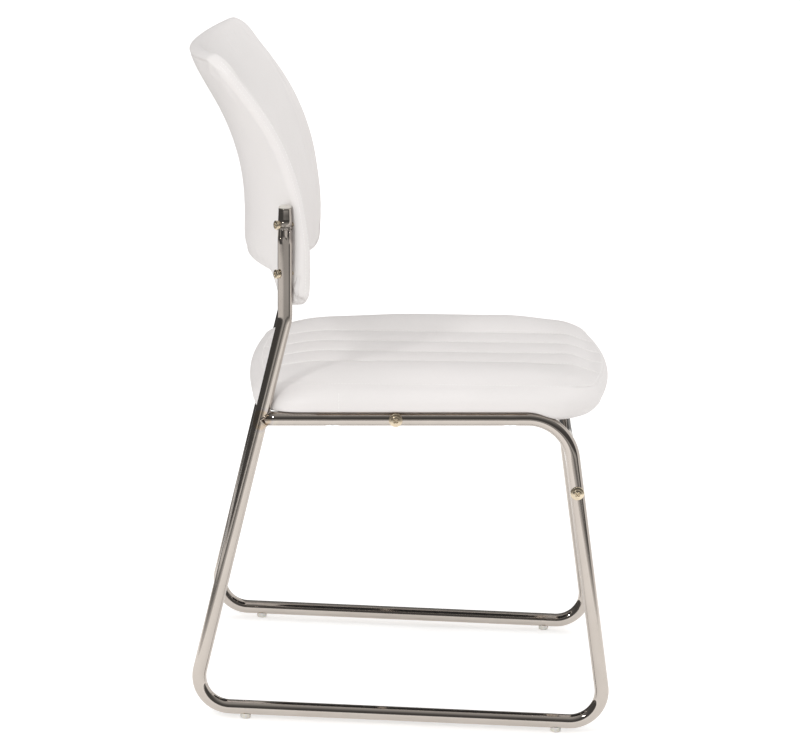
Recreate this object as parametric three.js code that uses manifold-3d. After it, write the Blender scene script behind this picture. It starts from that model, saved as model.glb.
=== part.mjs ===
// Sled base visitor chair: two bent tube side frames held apart by two cross tubes,
// a channelled seat bolted on the frames' seat rails and a wrap-round back bolted to the uprights.
// Millimetres, +Z up. The chair stands on Z = 0 and faces -Y, so the sitter's right hand is at -X.
// Its origin is on the floor under the middle of the space that it takes up.
import * as THREE from 'three';
import { mergeVertices } from 'three/addons/utils/BufferGeometryUtils.js';
import Module from 'manifold-3d';

const wasm = await Module();
wasm.setup();

// Fits
const contactGap = 0.3; // left between pieces that touch
const boltPlay = 0.35; // radial, round a bolt's shank
const cutOverrun = 3; // how far a cutting tool runs past the piece
const shortestEdge = 0.02; // edges left shorter than this by a cut are closed up
const degree = Math.PI / 180;

// Side frame tube and its bends, seen from the side
const tubeRadius = 9.5;
const tubeWall = 1.5;
const glideHeight = 5; // floor to the underside of the tube
const frontFootY = -272.5; // where the lines of front leg and floor rail cross
const floorRailLength = 551; // from that corner to the rear one
const kinkHeight = 543; // where rear leg and upright cross
const rearLegLean = 11.24 * degree;
const frontLegLean = 10.06 * degree;
const uprightLean = 2.06 * degree;
const uprightLength = 143;
const seatRailHeight = 418.2; // tube centre above the floor, at Y = 0
const seatRailRise = 2.61 * degree; // the seat rail climbs to the front
const footBendRadius = 42;
const shoulderBendRadius = 60;
const kinkBendRadius = 50;
const uprightTipRadius = 8.7; // the tube is drawn in a little at its top
const uprightTipLength = 20;
const tubeSides = 16;
const boreSides = 10;
const bendStep = 12 * degree;
const weldBeadHeight = 1.6;
const weldBeadStart = 15; // the bead covers the rail's end, measured from the rear leg's centreline
const weldBeadCrest = 10.3;
const railEnd = 13.5; // where the rail's own skin ends, measured so too

// Cap in the upright's open end
const capDome = 5.5;
const capPlugLength = 14;
const capRimRadius = 8.6;

// Cross tubes, with a threaded insert in each end
const crossTubeRadius = 8;
const crossTubeWall = 1.5;
const crossTubeSides = 16;
const copeSides = 24; // faces of the hollows that fit round a side tube
const seatCrossY = 24.6;
const frontCrossHeight = 329.7;
const insertLength = 22;
const insertDepth = 4; // how far inside the coped end the insert starts

// Bolts and washers
const boltRadius = 3;
const boltHeadRadius = 6.2;
const boltHeadHeight = 3.4;
const boltHeadDomeShare = 0.62; // radius of the head's flat crown, as a share of the head
const boltSides = 10;
const crossBoltThread = 16; // length of bolt inside the insert
const crossWasherRadius = 9;
const backWasherRadius = 7;
const washerHeight = 2.6; // stands this far off the tube
const washerLip = 1.3; // height of the rolled outer edge
const washerSides = 14;

// Tee nuts
const teeFlangeRadius = 6;
const teeFlangeThickness = 1.5;
const teeBarrelRadius = 4.4;

// Glides under the floor rails
const glideRadius = 7;
const glideY = 206.2; // both ways from the chair's middle
const glideSaddle = 2.5; // how far the glide laps up the tube
const glideStemRadius = 3.2;
const glideStemLength = 6;
const glideChamfer = 1.2;
const glideSides = 16;

// Seat, in a frame that lies on the seat rails: local Z = 0 is the tube's centre
const seatHalfWidth = 244;
const railInset = 13; // the frames' tubes run this far in from the seat's sides
const frameHalfWidth = seatHalfWidth - railInset; // chair centre to tube centre
const seatFrontY = -261.5;
const seatRearY = 225;
const seatFrontCorner = 85;
const seatRearCorner = 88;
const seatFrontBow = 16; // how far the edge curves back from its middle to its corners
const seatRearBow = 10;
const seatTuck = 4; // the sides are drawn in to the board
const seatEdgeRear = 34; // board underside to the top edge seam
const seatEdgeFront = 28;
const seatSeamInset = 24; // the sides lean in to the top seam
const seatSeamEndInset = 9.5; // and less at the front and rear
const seatValleyHeight = 36; // board underside to the sewn channels
const seatValleyRise = 7.4; // the channels climb to the rear, over the seat's length
const seatOuterCrown = 9.5; // outer panels above the channels
const seatChannelCrown = 6;
const channelPitch = 65.4;
const crownFadeFront = 60; // the panels' crowns die away towards both ends
const crownFadeRear = 110;
const seatNoseDrop = 15; // the top rolls down over the front
const seatNoseLength = 45;
const seatTailDrop = 9;
const seatTailLength = 80;
const seatLip = 12; // front lip below the board
const seatLipLength = 91;
const seatLipRamp = 40;
const seatBoardInset = 5.4;
const seatBoardThickness = 12;
const seatBoltRearY = 107;
const seatBoltFrontY = -124;
const dimpleDepth = 2.4; // pressed flats under the seat rail for the bolt heads
const dimpleRadius = 26;
const dimpleSides = 48;
const dustCoverThickness = 0.8;
const dustCoverInset = 27;

// Back: a shell bent across and up, its outline seen from the front
const backHeight = 279.5; // in the middle, and the top climbs a little to the corners
const backTopClimb = 9;
const backBottomHeight = 593; // above the floor
const backTopHeight = backBottomHeight + backHeight;
const backEarHeight = 556; // the ears that are bolted to the uprights hang lower
const backEarInner = 164; // the lower edge turns down here
const backEarOuter = 200;
const backTopCorner = 36;
const backEarCorner = 22;
const backWrapRadius = 428; // across, at the bolts
const backWrapRadiusTop = 560; // the top is less curved
const backBendStart = 625; // below this the back is upright
const backBendRadius = 300;
const backBendLean = 40 * degree;
const backRearEdge = 11; // from the shell's middle surface to the rear face, at the sides
const backRearMiddle = 21;
const backEdgeDistance = 10.7; // from a bolt's axis, where it meets the middle surface, to the edge
const backProud = 2.5; // the front pad stands this far before the cover's ridge at its edges
const backFrontSwell = 12; // and this much more in the middle
const backSwellShare = 0.93; // of the half width; outside it the thickness stays as at the edge
const backLowSwellShare = 0.6; // of the swell is left at the lower edge
const backBoardThickness = 8;
const backBoardFront = 1; // the board's front lies this far before the middle surface
const backBoardInset = 5;
const backRimGap = 0.6; // board and pad to the cover's rim, measured up the outline
const backRidgeUpper = 4; // the cover wraps forward to this ridge, further at the bolted ears
const backRidgeLower = 9.5;
const backRidgeTurnHeight = 600;
const backRidgeTurnLength = 80;
const backRidgeInset = 1.5;
const backEdgeRound = 6;
const backUpperBoltHeight = 666.5;
const backLowerBoltHeight = 602.5;
const probe = 0.25; // step for the surface's slope

const floorRailHeight = glideHeight + tubeRadius;
const boreRadius = tubeRadius - tubeWall;
const holeRadius = boltRadius + boltPlay;

const chrome = new THREE.MeshStandardMaterial({ color: 0xb8b3ad, metalness: 1, roughness: 0.12 });
const nickel = new THREE.MeshStandardMaterial({ color: 0xb3a58c, metalness: 1, roughness: 0.3 });
const zinc = new THREE.MeshStandardMaterial({ color: 0xa9adb0, metalness: 1, roughness: 0.42 });
const nylon = new THREE.MeshStandardMaterial({ color: 0xd9d3c8, metalness: 0, roughness: 0.45 });
const capPlastic = new THREE.MeshStandardMaterial({ color: 0xcfc7bd, metalness: 0, roughness: 0.35 });
const vinyl = new THREE.MeshStandardMaterial({ color: 0xe5e1dd, metalness: 0, roughness: 0.5 });
const plywood = new THREE.MeshStandardMaterial({ color: 0xc6a373, metalness: 0, roughness: 0.75 });
const blackCloth = new THREE.MeshStandardMaterial({ color: 0x1d1d1e, metalness: 0, roughness: 0.95 });

const chair = new THREE.Group();

function addMesh(name, geometry, material, parent = chair) {
  const mesh = new THREE.Mesh(geometry, material);
  mesh.name = name;
  parent.add(mesh);
  return mesh;
}

// Solids for joining and cutting

function toSolid(geometry) {
  const bare = geometry.index ? geometry.clone() : mergeVertices(geometry);
  bare.deleteAttribute('normal');
  bare.deleteAttribute('uv');
  const merged = mergeVertices(bare);
  return new wasm.Manifold(new wasm.Mesh({
    numProp: 3,
    vertProperties: new Float32Array(merged.attributes.position.array),
    triVerts: new Uint32Array(merged.index.array),
  }));
}

function toGeometry(solid) {
  const mesh = solid.asOriginal().simplify(shortestEdge).getMesh();
  const geometry = new THREE.BufferGeometry();
  geometry.setAttribute('position', new THREE.BufferAttribute(new Float32Array(mesh.vertProperties), 3));
  geometry.setIndex(new THREE.BufferAttribute(new Uint32Array(mesh.triVerts), 1));
  geometry.computeVertexNormals();
  return geometry;
}

// A round bar from one point to another
function rod(from, to, radius, sides) {
  const axis = new THREE.Vector3().subVectors(to, from);
  const geometry = new THREE.CylinderGeometry(radius, radius, axis.length(), sides);
  const up = new THREE.Vector3(0, 1, 0);
  geometry.applyQuaternion(new THREE.Quaternion().setFromUnitVectors(up, axis.clone().normalize()));
  const middle = new THREE.Vector3().addVectors(from, to).multiplyScalar(0.5);
  geometry.translate(middle.x, middle.y, middle.z);
  return toSolid(geometry);
}

// A turned piece from [radius, height] pairs, its axis on Z
function turned(profile, sides) {
  const points = profile.map(([radius, height]) => new THREE.Vector2(radius, height));
  const geometry = new THREE.LatheGeometry(points, sides);
  geometry.rotateX(Math.PI / 2);
  return geometry;
}

// Lays a turned piece with its base at a point and its axis along a direction
function aimed(geometry, base, direction) {
  const up = new THREE.Vector3(0, 0, 1);
  const placed = geometry.clone();
  placed.applyQuaternion(new THREE.Quaternion().setFromUnitVectors(up, direction.clone().normalize()));
  placed.translate(base.x, base.y, base.z);
  return placed;
}

// The side frame's centreline, as [y, z] points in the side view

const rearFootY = frontFootY + floorRailLength;
const kinkY = rearFootY - (kinkHeight - floorRailHeight) * Math.tan(rearLegLean);
const uprightTop = {
  y: kinkY + uprightLength * Math.sin(uprightLean),
  z: kinkHeight + uprightLength * Math.cos(uprightLean),
};

function seatRailZ(y) {
  return seatRailHeight - y * Math.tan(seatRailRise);
}

function frontLegY(z) {
  return frontFootY + (z - floorRailHeight) * Math.tan(frontLegLean);
}

function uprightY(z) {
  return kinkY + (z - kinkHeight) * Math.tan(uprightLean);
}

// Front leg and seat rail cross at the shoulder, seat rail and rear leg at the weld
const railFall = Math.tan(seatRailRise);
const frontRun = Math.tan(frontLegLean);
const rearRun = Math.tan(rearLegLean);
const shoulderY = (frontFootY + (seatRailHeight - floorRailHeight) * frontRun) / (1 + railFall * frontRun);
const weldY = (rearFootY - (seatRailHeight - floorRailHeight) * rearRun) / (1 - railFall * rearRun);

const frameCorners = [
  new THREE.Vector2(uprightTop.y, uprightTop.z),
  new THREE.Vector2(kinkY, kinkHeight),
  new THREE.Vector2(rearFootY, floorRailHeight),
  new THREE.Vector2(frontFootY, floorRailHeight),
  new THREE.Vector2(shoulderY, seatRailZ(shoulderY)),
  new THREE.Vector2(weldY, seatRailZ(weldY)),
];
const bendRadii = [kinkBendRadius, footBendRadius, footBendRadius, shoulderBendRadius];

// Replaces each inner corner by an arc; returns stations with a point and a direction
function bentLine(corners, radii) {
  const last = corners.length - 1;
  const heading = (from, to) => to.clone().sub(from).normalize();
  const stations = [{ point: corners[0], along: heading(corners[0], corners[1]) }];
  for (let i = 1; i < last; i += 1) {
    const before = heading(corners[i - 1], corners[i]);
    const after = heading(corners[i], corners[i + 1]);
    const turn = Math.atan2(before.cross(after), before.dot(after));
    const reach = radii[i - 1] * Math.tan(Math.abs(turn) / 2);
    const start = corners[i].clone().addScaledVector(before, -reach);
    const side = new THREE.Vector2(-before.y, before.x).multiplyScalar(Math.sign(turn));
    const centre = start.clone().addScaledVector(side, radii[i - 1]);
    const steps = Math.max(2, Math.round(Math.abs(turn) / bendStep));
    for (let k = 0; k <= steps; k += 1) {
      const angle = (turn * k) / steps;
      const point = start.clone().rotateAround(centre, angle);
      const along = before.clone().rotateAround(new THREE.Vector2(0, 0), angle);
      stations.push({ point, along });
    }
  }
  stations.push({ point: corners[last], along: heading(corners[last - 1], corners[last]) });
  return stations;
}

// A tube along stations in the plane at x, closed at both ends
function sweptTube(x, stations, radiusAt, sides) {
  const positions = [];
  const faces = [];
  stations.forEach((station, row) => {
    const radius = radiusAt(row);
    for (let k = 0; k < sides; k += 1) {
      const angle = (2 * Math.PI * k) / sides;
      const out = radius * Math.cos(angle);
      positions.push(
        x + radius * Math.sin(angle),
        station.point.x - station.along.y * out,
        station.point.y + station.along.x * out,
      );
    }
  });
  const rows = stations.length;
  for (let row = 0; row + 1 < rows; row += 1) {
    for (let k = 0; k < sides; k += 1) {
      const a = row * sides + k;
      const b = row * sides + ((k + 1) % sides);
      faces.push(a, b, a + sides, b, b + sides, a + sides);
    }
  }
  const first = positions.length / 3;
  [stations[0], stations[rows - 1]].forEach((end) => positions.push(x, end.point.x, end.point.y));
  for (let k = 0; k < sides; k += 1) {
    const next = (k + 1) % sides;
    faces.push(first, next, k, first + 1, (rows - 1) * sides + k, (rows - 1) * sides + next);
  }
  const geometry = new THREE.BufferGeometry();
  geometry.setAttribute('position', new THREE.Float32BufferAttribute(positions, 3));
  geometry.setIndex(faces);
  return geometry;
}

function moved(station, distance) {
  return { point: station.point.clone().addScaledVector(station.along, distance), along: station.along };
}

// The tube's stations, with one more where the drawn-in tip begins
const frameStations = bentLine(frameCorners, bendRadii);
frameStations.splice(1, 0, moved(frameStations[0], uprightTipLength));
const frameEnd = frameStations.length - 1;

// Outer skin: the seat rail ends short of the rear leg and the weld bead joins them
const skinStations = [...frameStations];
skinStations[frameEnd] = moved(frameStations[frameEnd], -railEnd);
const skinRadius = (row) => (row === 0 ? uprightTipRadius : tubeRadius);

// Bore: open at the upright's top, ends short of the rear leg
const boreStations = [...frameStations];
boreStations[0] = moved(frameStations[0], -cutOverrun);
boreStations[frameEnd] = moved(frameStations[frameEnd], -tubeRadius - tubeWall);
const boreTip = uprightTipRadius - tubeWall;
const boreRadiusAt = (row) => (row === 0 ? boreTip : boreRadius);

// Where the back is bolted: the shell's arc and the uprights share an axis through each bolt
const boltReach = backRearEdge + contactGap + tubeRadius;
const wrapShare = backWrapRadius / (backWrapRadius + boltReach);
const backHalfWidth = frameHalfWidth * wrapShare + backEdgeDistance;
const backBoltHeights = { upper: backUpperBoltHeight, lower: backLowerBoltHeight };
const bendLag = Math.sqrt(backBendRadius ** 2 - (backUpperBoltHeight - backBendStart) ** 2);
const boltSpread = Math.sqrt((backWrapRadius + boltReach) ** 2 - frameHalfWidth ** 2);
const wrapCentreY = uprightY(backUpperBoltHeight) - (backBendRadius - bendLag) - boltSpread;

function backBolt(side, height) {
  const centre = new THREE.Vector3(side * frameHalfWidth, uprightY(height), height);
  const axis = new THREE.Vector3(side * frameHalfWidth, boltSpread, 0).normalize();
  return { centre, axis };
}

const sides = { right: -1, left: 1 };
const seatBoltYs = { front: seatBoltFrontY, rear: seatBoltRearY };
const crossPlaces = {
  front: { y: frontLegY(frontCrossHeight), z: frontCrossHeight },
  seat: { y: seatCrossY, z: seatRailZ(seatCrossY) },
};

// Local seat coordinates to the chair's
const seatFrame = new THREE.Matrix4().makeRotationX(-seatRailRise);
seatFrame.setPosition(0, 0, seatRailHeight);

function fromSeat(x, y, z) {
  return new THREE.Vector3(x, y, z).applyMatrix4(seatFrame);
}

// Side frame: skin less bore, with pressed dimples, bolt holes and glide holes
function sideFrame(side) {
  const x = side * frameHalfWidth;
  let skin = toSolid(sweptTube(x, skinStations, skinRadius, tubeSides));
  let bore = toSolid(sweptTube(x, boreStations, boreRadiusAt, boreSides));
  Object.values(seatBoltYs).forEach((y) => {
    const drop = tubeRadius - dimpleDepth + dimpleRadius;
    const reach = tubeRadius + cutOverrun;
    const ends = [fromSeat(x - reach, y, -drop), fromSeat(x + reach, y, -drop)];
    skin = skin.subtract(rod(ends[0], ends[1], dimpleRadius, dimpleSides));
    bore = bore.subtract(rod(ends[0], ends[1], dimpleRadius + tubeWall, dimpleSides));
  });
  const weld = frameStations[frameEnd];
  const bead = [
    moved(weld, -weldBeadStart),
    moved(weld, -weldBeadCrest),
    moved(weld, -boreRadius - tubeWall / 2),
  ];
  const beadRadii = [tubeRadius - weldBeadHeight / 2, tubeRadius + weldBeadHeight, tubeRadius];
  skin = skin.add(toSolid(sweptTube(x, bead, (row) => beadRadii[row], tubeSides)));
  let frame = skin.subtract(bore);
  const drill = (from, to, radius) => {
    frame = frame.subtract(rod(from, to, radius, boltSides));
  };
  const through = tubeRadius + cutOverrun;
  Object.values(crossPlaces).forEach(({ y, z }) => {
    drill(new THREE.Vector3(x - through, y, z), new THREE.Vector3(x + through, y, z), holeRadius);
  });
  Object.values(seatBoltYs).forEach((y) => {
    drill(fromSeat(x, y, -through), fromSeat(x, y, through), holeRadius);
  });
  Object.values(backBoltHeights).forEach((height) => {
    const { centre, axis } = backBolt(side, height);
    const from = centre.clone().addScaledVector(axis, -through);
    drill(from, centre.clone().addScaledVector(axis, through), holeRadius);
  });
  [-glideY, glideY].forEach((y) => {
    const from = new THREE.Vector3(x, y, floorRailHeight - through);
    drill(from, new THREE.Vector3(x, y, floorRailHeight), glideStemRadius + boltPlay);
  });
  return toGeometry(frame);
}

// Domed cap with a plug that fits the drawn-in tip
function tubeCap(side) {
  const plugRadius = boreTip * Math.cos(Math.PI / boreSides) - contactGap;
  const profile = [
    [0, -capPlugLength],
    [plugRadius - tubeWall, -capPlugLength],
    [plugRadius, -capPlugLength + tubeWall],
    [plugRadius, contactGap],
    [capRimRadius, contactGap],
    [capRimRadius, capDome * 0.35],
    [capRimRadius * 0.85, capDome * 0.75],
    [capRimRadius * 0.5, capDome * 0.95],
    [0, capDome],
  ];
  const base = new THREE.Vector3(side * frameHalfWidth, uprightTop.y, uprightTop.z);
  const axis = new THREE.Vector3(0, Math.sin(uprightLean), Math.cos(uprightLean));
  return aimed(turned(profile, tubeSides), base, axis);
}

// A straight stretch of side tube, grown by a gap, for coping what fits against it
function sideTubeTool(side, place, along, gap) {
  const reach = along.clone().multiplyScalar(tubeRadius * 3);
  const centre = new THREE.Vector3(side * frameHalfWidth, place.y, place.z);
  const from = centre.clone().sub(reach);
  return rod(from, centre.clone().add(reach), tubeRadius + gap, copeSides);
}

const crossTubeLines = {
  front: new THREE.Vector3(0, Math.sin(frontLegLean), Math.cos(frontLegLean)),
  seat: new THREE.Vector3(0, Math.cos(seatRailRise), -Math.sin(seatRailRise)),
};

function crossTube(name) {
  const place = crossPlaces[name];
  const from = new THREE.Vector3(-frameHalfWidth, place.y, place.z);
  const to = new THREE.Vector3(frameHalfWidth, place.y, place.z);
  const boreEnd = new THREE.Vector3(cutOverrun, 0, 0);
  let tube = rod(from, to, crossTubeRadius, crossTubeSides);
  const inner = crossTubeRadius - crossTubeWall;
  tube = tube.subtract(rod(from.clone().sub(boreEnd), to.clone().add(boreEnd), inner, boltSides));
  Object.values(sides).forEach((side) => {
    tube = tube.subtract(sideTubeTool(side, place, crossTubeLines[name], contactGap));
  });
  return toGeometry(tube);
}

// Threaded insert pressed in a cross tube's end
function crossInsert(side, place) {
  const outer = (crossTubeRadius - crossTubeWall) * Math.cos(Math.PI / boltSides) - contactGap;
  const profile = [
    [holeRadius, 0],
    [outer, 0],
    [outer, insertLength],
    [holeRadius, insertLength],
    [holeRadius, 0],
  ];
  const start = side * (frameHalfWidth - tubeRadius - insertDepth);
  const inward = new THREE.Vector3(-side, 0, 0);
  return aimed(turned(profile, boltSides), new THREE.Vector3(start, place.y, place.z), inward);
}

// Pan head bolt: the head's seat is at height 0 and the shank runs below it
function boltGeometry(length) {
  const profile = [
    [0, -length],
    [boltRadius, -length],
    [boltRadius, 0],
    [boltHeadRadius, 0],
    [boltHeadRadius, boltHeadHeight * 0.45],
    [boltHeadRadius * boltHeadDomeShare, boltHeadHeight],
    [0, boltHeadHeight],
  ];
  return turned(profile, boltSides);
}

function crossBolt(side, place) {
  const seat = tubeRadius + washerHeight;
  const tip = insertDepth + crossBoltThread;
  const base = new THREE.Vector3(side * (frameHalfWidth + seat), place.y, place.z);
  return aimed(boltGeometry(seat + tubeRadius + tip), base, new THREE.Vector3(side, 0, 0));
}

// Cup washer whose underside is shaped to the tube it sits on
function cupWasher(tubeCentre, axis, tube, radius) {
  const seat = tubeRadius + washerHeight - contactGap;
  const sink = tubeRadius / 2;
  const profile = [
    [holeRadius, sink],
    [radius, sink],
    [radius, seat - washerLip],
    [radius - washerLip / 2, seat - washerLip / 4],
    [boltHeadRadius, seat],
    [holeRadius, seat],
    [holeRadius, sink],
  ];
  return toGeometry(toSolid(aimed(turned(profile, washerSides), tubeCentre, axis)).subtract(tube));
}

function crossWasher(side, name) {
  const place = crossPlaces[name];
  const tube = sideTubeTool(side, place, crossTubeLines[name], contactGap);
  const tubeCentre = new THREE.Vector3(side * frameHalfWidth, place.y, place.z);
  return cupWasher(tubeCentre, new THREE.Vector3(side, 0, 0), tube, crossWasherRadius);
}

// Tee nut with its flange at height 0 and its barrel below
function teeNut(barrelLength) {
  const profile = [
    [holeRadius, -barrelLength],
    [teeBarrelRadius, -barrelLength],
    [teeBarrelRadius, -teeFlangeThickness],
    [teeFlangeRadius, -teeFlangeThickness],
    [teeFlangeRadius, 0],
    [holeRadius, 0],
    [holeRadius, -barrelLength],
  ];
  return turned(profile, boltSides);
}

// The hole and counterbore that a tee nut sits in, cut from a board
function teeNutTool(base, direction, barrelLength) {
  const up = direction.clone().normalize();
  const at = (height) => base.clone().addScaledVector(up, height);
  const end = at(cutOverrun);
  const barrel = rod(at(-barrelLength - cutOverrun), end, teeBarrelRadius + contactGap, boltSides);
  const floor = -teeFlangeThickness - contactGap;
  return barrel.add(rod(at(floor), end, teeFlangeRadius + contactGap, boltSides));
}

// Glide: a round foot that laps up the tube, with a stem in the tube's hole
function glide(side, y) {
  const shoulder = glideHeight + glideSaddle;
  const tip = glideHeight + glideStemLength;
  const profile = [
    [0, 0],
    [glideRadius - glideChamfer, 0],
    [glideRadius, glideChamfer],
    [glideRadius, shoulder],
    [0, shoulder],
  ];
  const base = new THREE.Vector3(side * frameHalfWidth, y, 0);
  const axis = new THREE.Vector3(0, 0, 1);
  const place = { y, z: floorRailHeight };
  const foot = toSolid(aimed(turned(profile, glideSides), base, axis));
  const saddle = foot.subtract(sideTubeTool(side, place, new THREE.Vector3(0, 1, 0), contactGap));
  const stemFoot = base.clone().setZ(glideHeight / 2);
  return toGeometry(saddle.add(rod(stemFoot, base.clone().setZ(tip), glideStemRadius, boltSides)));
}

// Padded and moulded forms: a stack of layers from one face to the other. The first and last
// layers are faces over the whole outline and the others only its edge. A layer's depth is a
// size or a function of the place, and place turns outline coordinates and a depth into a point.
// A flat face can be a plain fan from its middle, and a layer can be inset otherwise at its ends.
function layeredForm({ outline, place, columns, rows, layers, fanFirst = false, fanLast = false }) {
  const positions = [];
  const faces = [];
  const pointAt = (layer, u, v) => {
    const { halfWidth, low, high } = outline(layer.inset, layer.endInset ?? layer.inset);
    const x = halfWidth * u;
    const y = low(x) + (high(x) - low(x)) * v;
    const depth = typeof layer.depth === 'function' ? layer.depth(x, y, u, v) : layer.depth;
    const point = place(x, y, depth);
    positions.push(point.x, point.y, point.z);
    return positions.length / 3 - 1;
  };
  const lastColumn = columns.length - 1;
  const lastRow = rows.length - 1;
  const rim = [];
  for (let i = 0; i < lastColumn; i += 1) rim.push([i, 0]);
  for (let j = 0; j < lastRow; j += 1) rim.push([lastColumn, j]);
  for (let i = lastColumn; i > 0; i -= 1) rim.push([i, lastRow]);
  for (let j = lastRow; j > 0; j -= 1) rim.push([0, j]);
  const face = (layer, upward) => {
    const ids = columns.map((u) => rows.map((v) => pointAt(layer, u, v)));
    for (let i = 0; i < lastColumn; i += 1) {
      for (let j = 0; j < lastRow; j += 1) {
        const [a, b, c, d] = [ids[i][j], ids[i + 1][j], ids[i + 1][j + 1], ids[i][j + 1]];
        if (upward) faces.push(a, b, c, a, c, d);
        else faces.push(a, c, b, a, d, c);
      }
    }
    return rim.map(([i, j]) => ids[i][j]);
  };
  const edge = (layer) => rim.map(([i, j]) => pointAt(layer, columns[i], rows[j]));
  const fan = (layer, upward) => {
    const ids = edge(layer);
    const middle = pointAt(layer, 0, 0.5);
    ids.forEach((id, k) => {
      const next = ids[(k + 1) % ids.length];
      if (upward) faces.push(middle, id, next);
      else faces.push(middle, next, id);
    });
    return ids;
  };
  const closing = fanLast ? fan : face;
  let below = (fanFirst ? fan : face)(layers[0], false);
  layers.slice(1).forEach((layer, k) => {
    const above = k === layers.length - 2 ? closing(layer, true) : edge(layer);
    below.forEach((id, i) => {
      const next = (i + 1) % below.length;
      faces.push(id, below[next], above[i], below[next], above[next], above[i]);
    });
    below = above;
  });
  const geometry = new THREE.BufferGeometry();
  geometry.setAttribute('position', new THREE.Float32BufferAttribute(positions, 3));
  geometry.setIndex(faces);
  geometry.computeVertexNormals();
  return geometry;
}

// Mirrors shares given for one half, from the middle outwards
function bothWays(halfShares) {
  return [...halfShares.slice(1).reverse().map((share) => -share), ...halfShares];
}

// How far a rounded corner has fallen away from a straight edge, at a place near the side
function cornerFall(x, halfWidth, radius) {
  const past = Math.min(radius, Math.max(0, Math.abs(x) - (halfWidth - radius)));
  return radius - Math.sqrt(radius ** 2 - past ** 2);
}

function smooth(share) {
  const t = Math.min(1, Math.max(0, share));
  return t * t * (3 - 2 * t);
}

// Seat outline from above, drawn in by an inset
function seatOutline(inset, endInset) {
  const halfWidth = seatHalfWidth - inset;
  const frontCorner = seatFrontCorner - inset / 2;
  const rearCorner = seatRearCorner - inset / 2;
  const bow = (x, corner) => Math.min(1, Math.abs(x) / (halfWidth - corner)) ** 2;
  const front = seatFrontY + endInset;
  const rear = seatRearY - endInset;
  return {
    halfWidth,
    low: (x) => front + seatFrontBow * bow(x, frontCorner) + cornerFall(x, halfWidth, frontCorner),
    high: (x) => rear - seatRearBow * bow(x, rearCorner) - cornerFall(x, halfWidth, rearCorner),
  };
}

// Columns of the seat's faces follow the channels: pitch quarters, then the outer panel
const seamHalfWidth = seatHalfWidth - seatSeamInset;
const outerSeamX = channelPitch * 1.5;
const channelColumnShares = [0, 1, 2, 3, 4, 5, 6].map((k) => (k * channelPitch) / 4 / seamHalfWidth);
const outerPanelShares = [0.2, 0.45, 0.7, 0.88, 0.97, 1];
const outerColumnShares = outerPanelShares.map(
  (share) => (outerSeamX + (seamHalfWidth - outerSeamX) * share) / seamHalfWidth,
);
const seatColumns = bothWays([...channelColumnShares, ...outerColumnShares]);
const seatRowShares = [0, 0.03, 0.1, 0.2, 0.32, 0.45, 0.58, 0.7, 0.81, 0.9, 0.97, 1];
const boardBase = tubeRadius + contactGap; // board underside, in the seat's frame

// How far the top has rolled down towards the front and the rear
function seatRoll(y) {
  const nose = smooth((seatFrontY + seatNoseLength - y) / seatNoseLength);
  const tail = smooth((y - seatRearY + seatTailLength) / seatTailLength);
  return seatNoseDrop * nose + seatTailDrop * tail;
}

// Height of the upholstered edge seam above the board's underside
function seatEdgeHeight(y) {
  const share = (y - seatFrontY) / (seatRearY - seatFrontY);
  return seatEdgeFront + (seatEdgeRear - seatEdgeFront) * share - seatRoll(y) / 2;
}

// Crown of a panel between two seams, or of the outer panel beside them
function panelCrown(x) {
  const across = Math.abs(x);
  if (across < outerSeamX) return seatChannelCrown * Math.cos((Math.PI * across) / channelPitch) ** 2;
  const share = Math.min(1, (across - outerSeamX) / (seamHalfWidth - outerSeamX));
  return seatOuterCrown * Math.sin(Math.PI * share) ** 0.8;
}

// Top of the seat: crowned panels between sewn channels, rolled down at the ends
function seatTopHeight(x, y, u) {
  const { low, high } = seatOutline(seatSeamInset, seatSeamEndInset);
  const fromFront = y - low(x);
  const fromRear = high(x) - y;
  const crown = panelCrown(x) * smooth(Math.min(fromFront / crownFadeFront, fromRear / crownFadeRear));
  const fromMiddle = (y - (seatFrontY + seatRearY) / 2) / (seatRearY - seatFrontY);
  const body = seatValleyHeight + seatValleyRise * fromMiddle - seatRoll(y) + crown;
  const edge = seatEdgeHeight(y);
  const away = smooth(Math.min(1 - Math.abs(u), fromFront / seamHalfWidth, fromRear / seamHalfWidth) * 6);
  return edge + (body - edge) * away;
}

// The lip under the front edge
function seatUnderside(y) {
  return -seatLip * smooth((seatFrontY + seatLipLength - y) / seatLipRamp);
}

function seatCushion() {
  const place = (x, y, depth) => new THREE.Vector3(x, y, boardBase + depth);
  const recess = seatBoardInset - contactGap;
  const side = (share, inset, endInset = inset) => ({
    inset,
    endInset,
    depth: (x, y) => seatUnderside(y) + (seatEdgeHeight(y) - seatUnderside(y)) * share,
  });
  return layeredForm({
    outline: seatOutline,
    place,
    columns: seatColumns,
    rows: seatRowShares,
    fanFirst: true,
    layers: [
      { inset: recess, depth: seatBoardThickness + contactGap },
      { inset: recess, depth: 0 },
      side(0, seatTuck),
      side(0.25, seatTuck / 4),
      side(0.5, 0),
      side(0.8, seatSeamInset * 0.4, seatSeamEndInset * 0.3),
      { inset: seatSeamInset, endInset: seatSeamEndInset, depth: seatTopHeight },
    ],
  });
}

function flatSheet(inset, bottom, thickness) {
  return layeredForm({
    outline: seatOutline,
    place: (x, y, depth) => new THREE.Vector3(x, y, depth),
    columns: seatColumns,
    rows: seatRowShares,
    fanFirst: true,
    fanLast: true,
    layers: [{ inset, depth: bottom }, { inset, depth: bottom + thickness }],
  });
}

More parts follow.
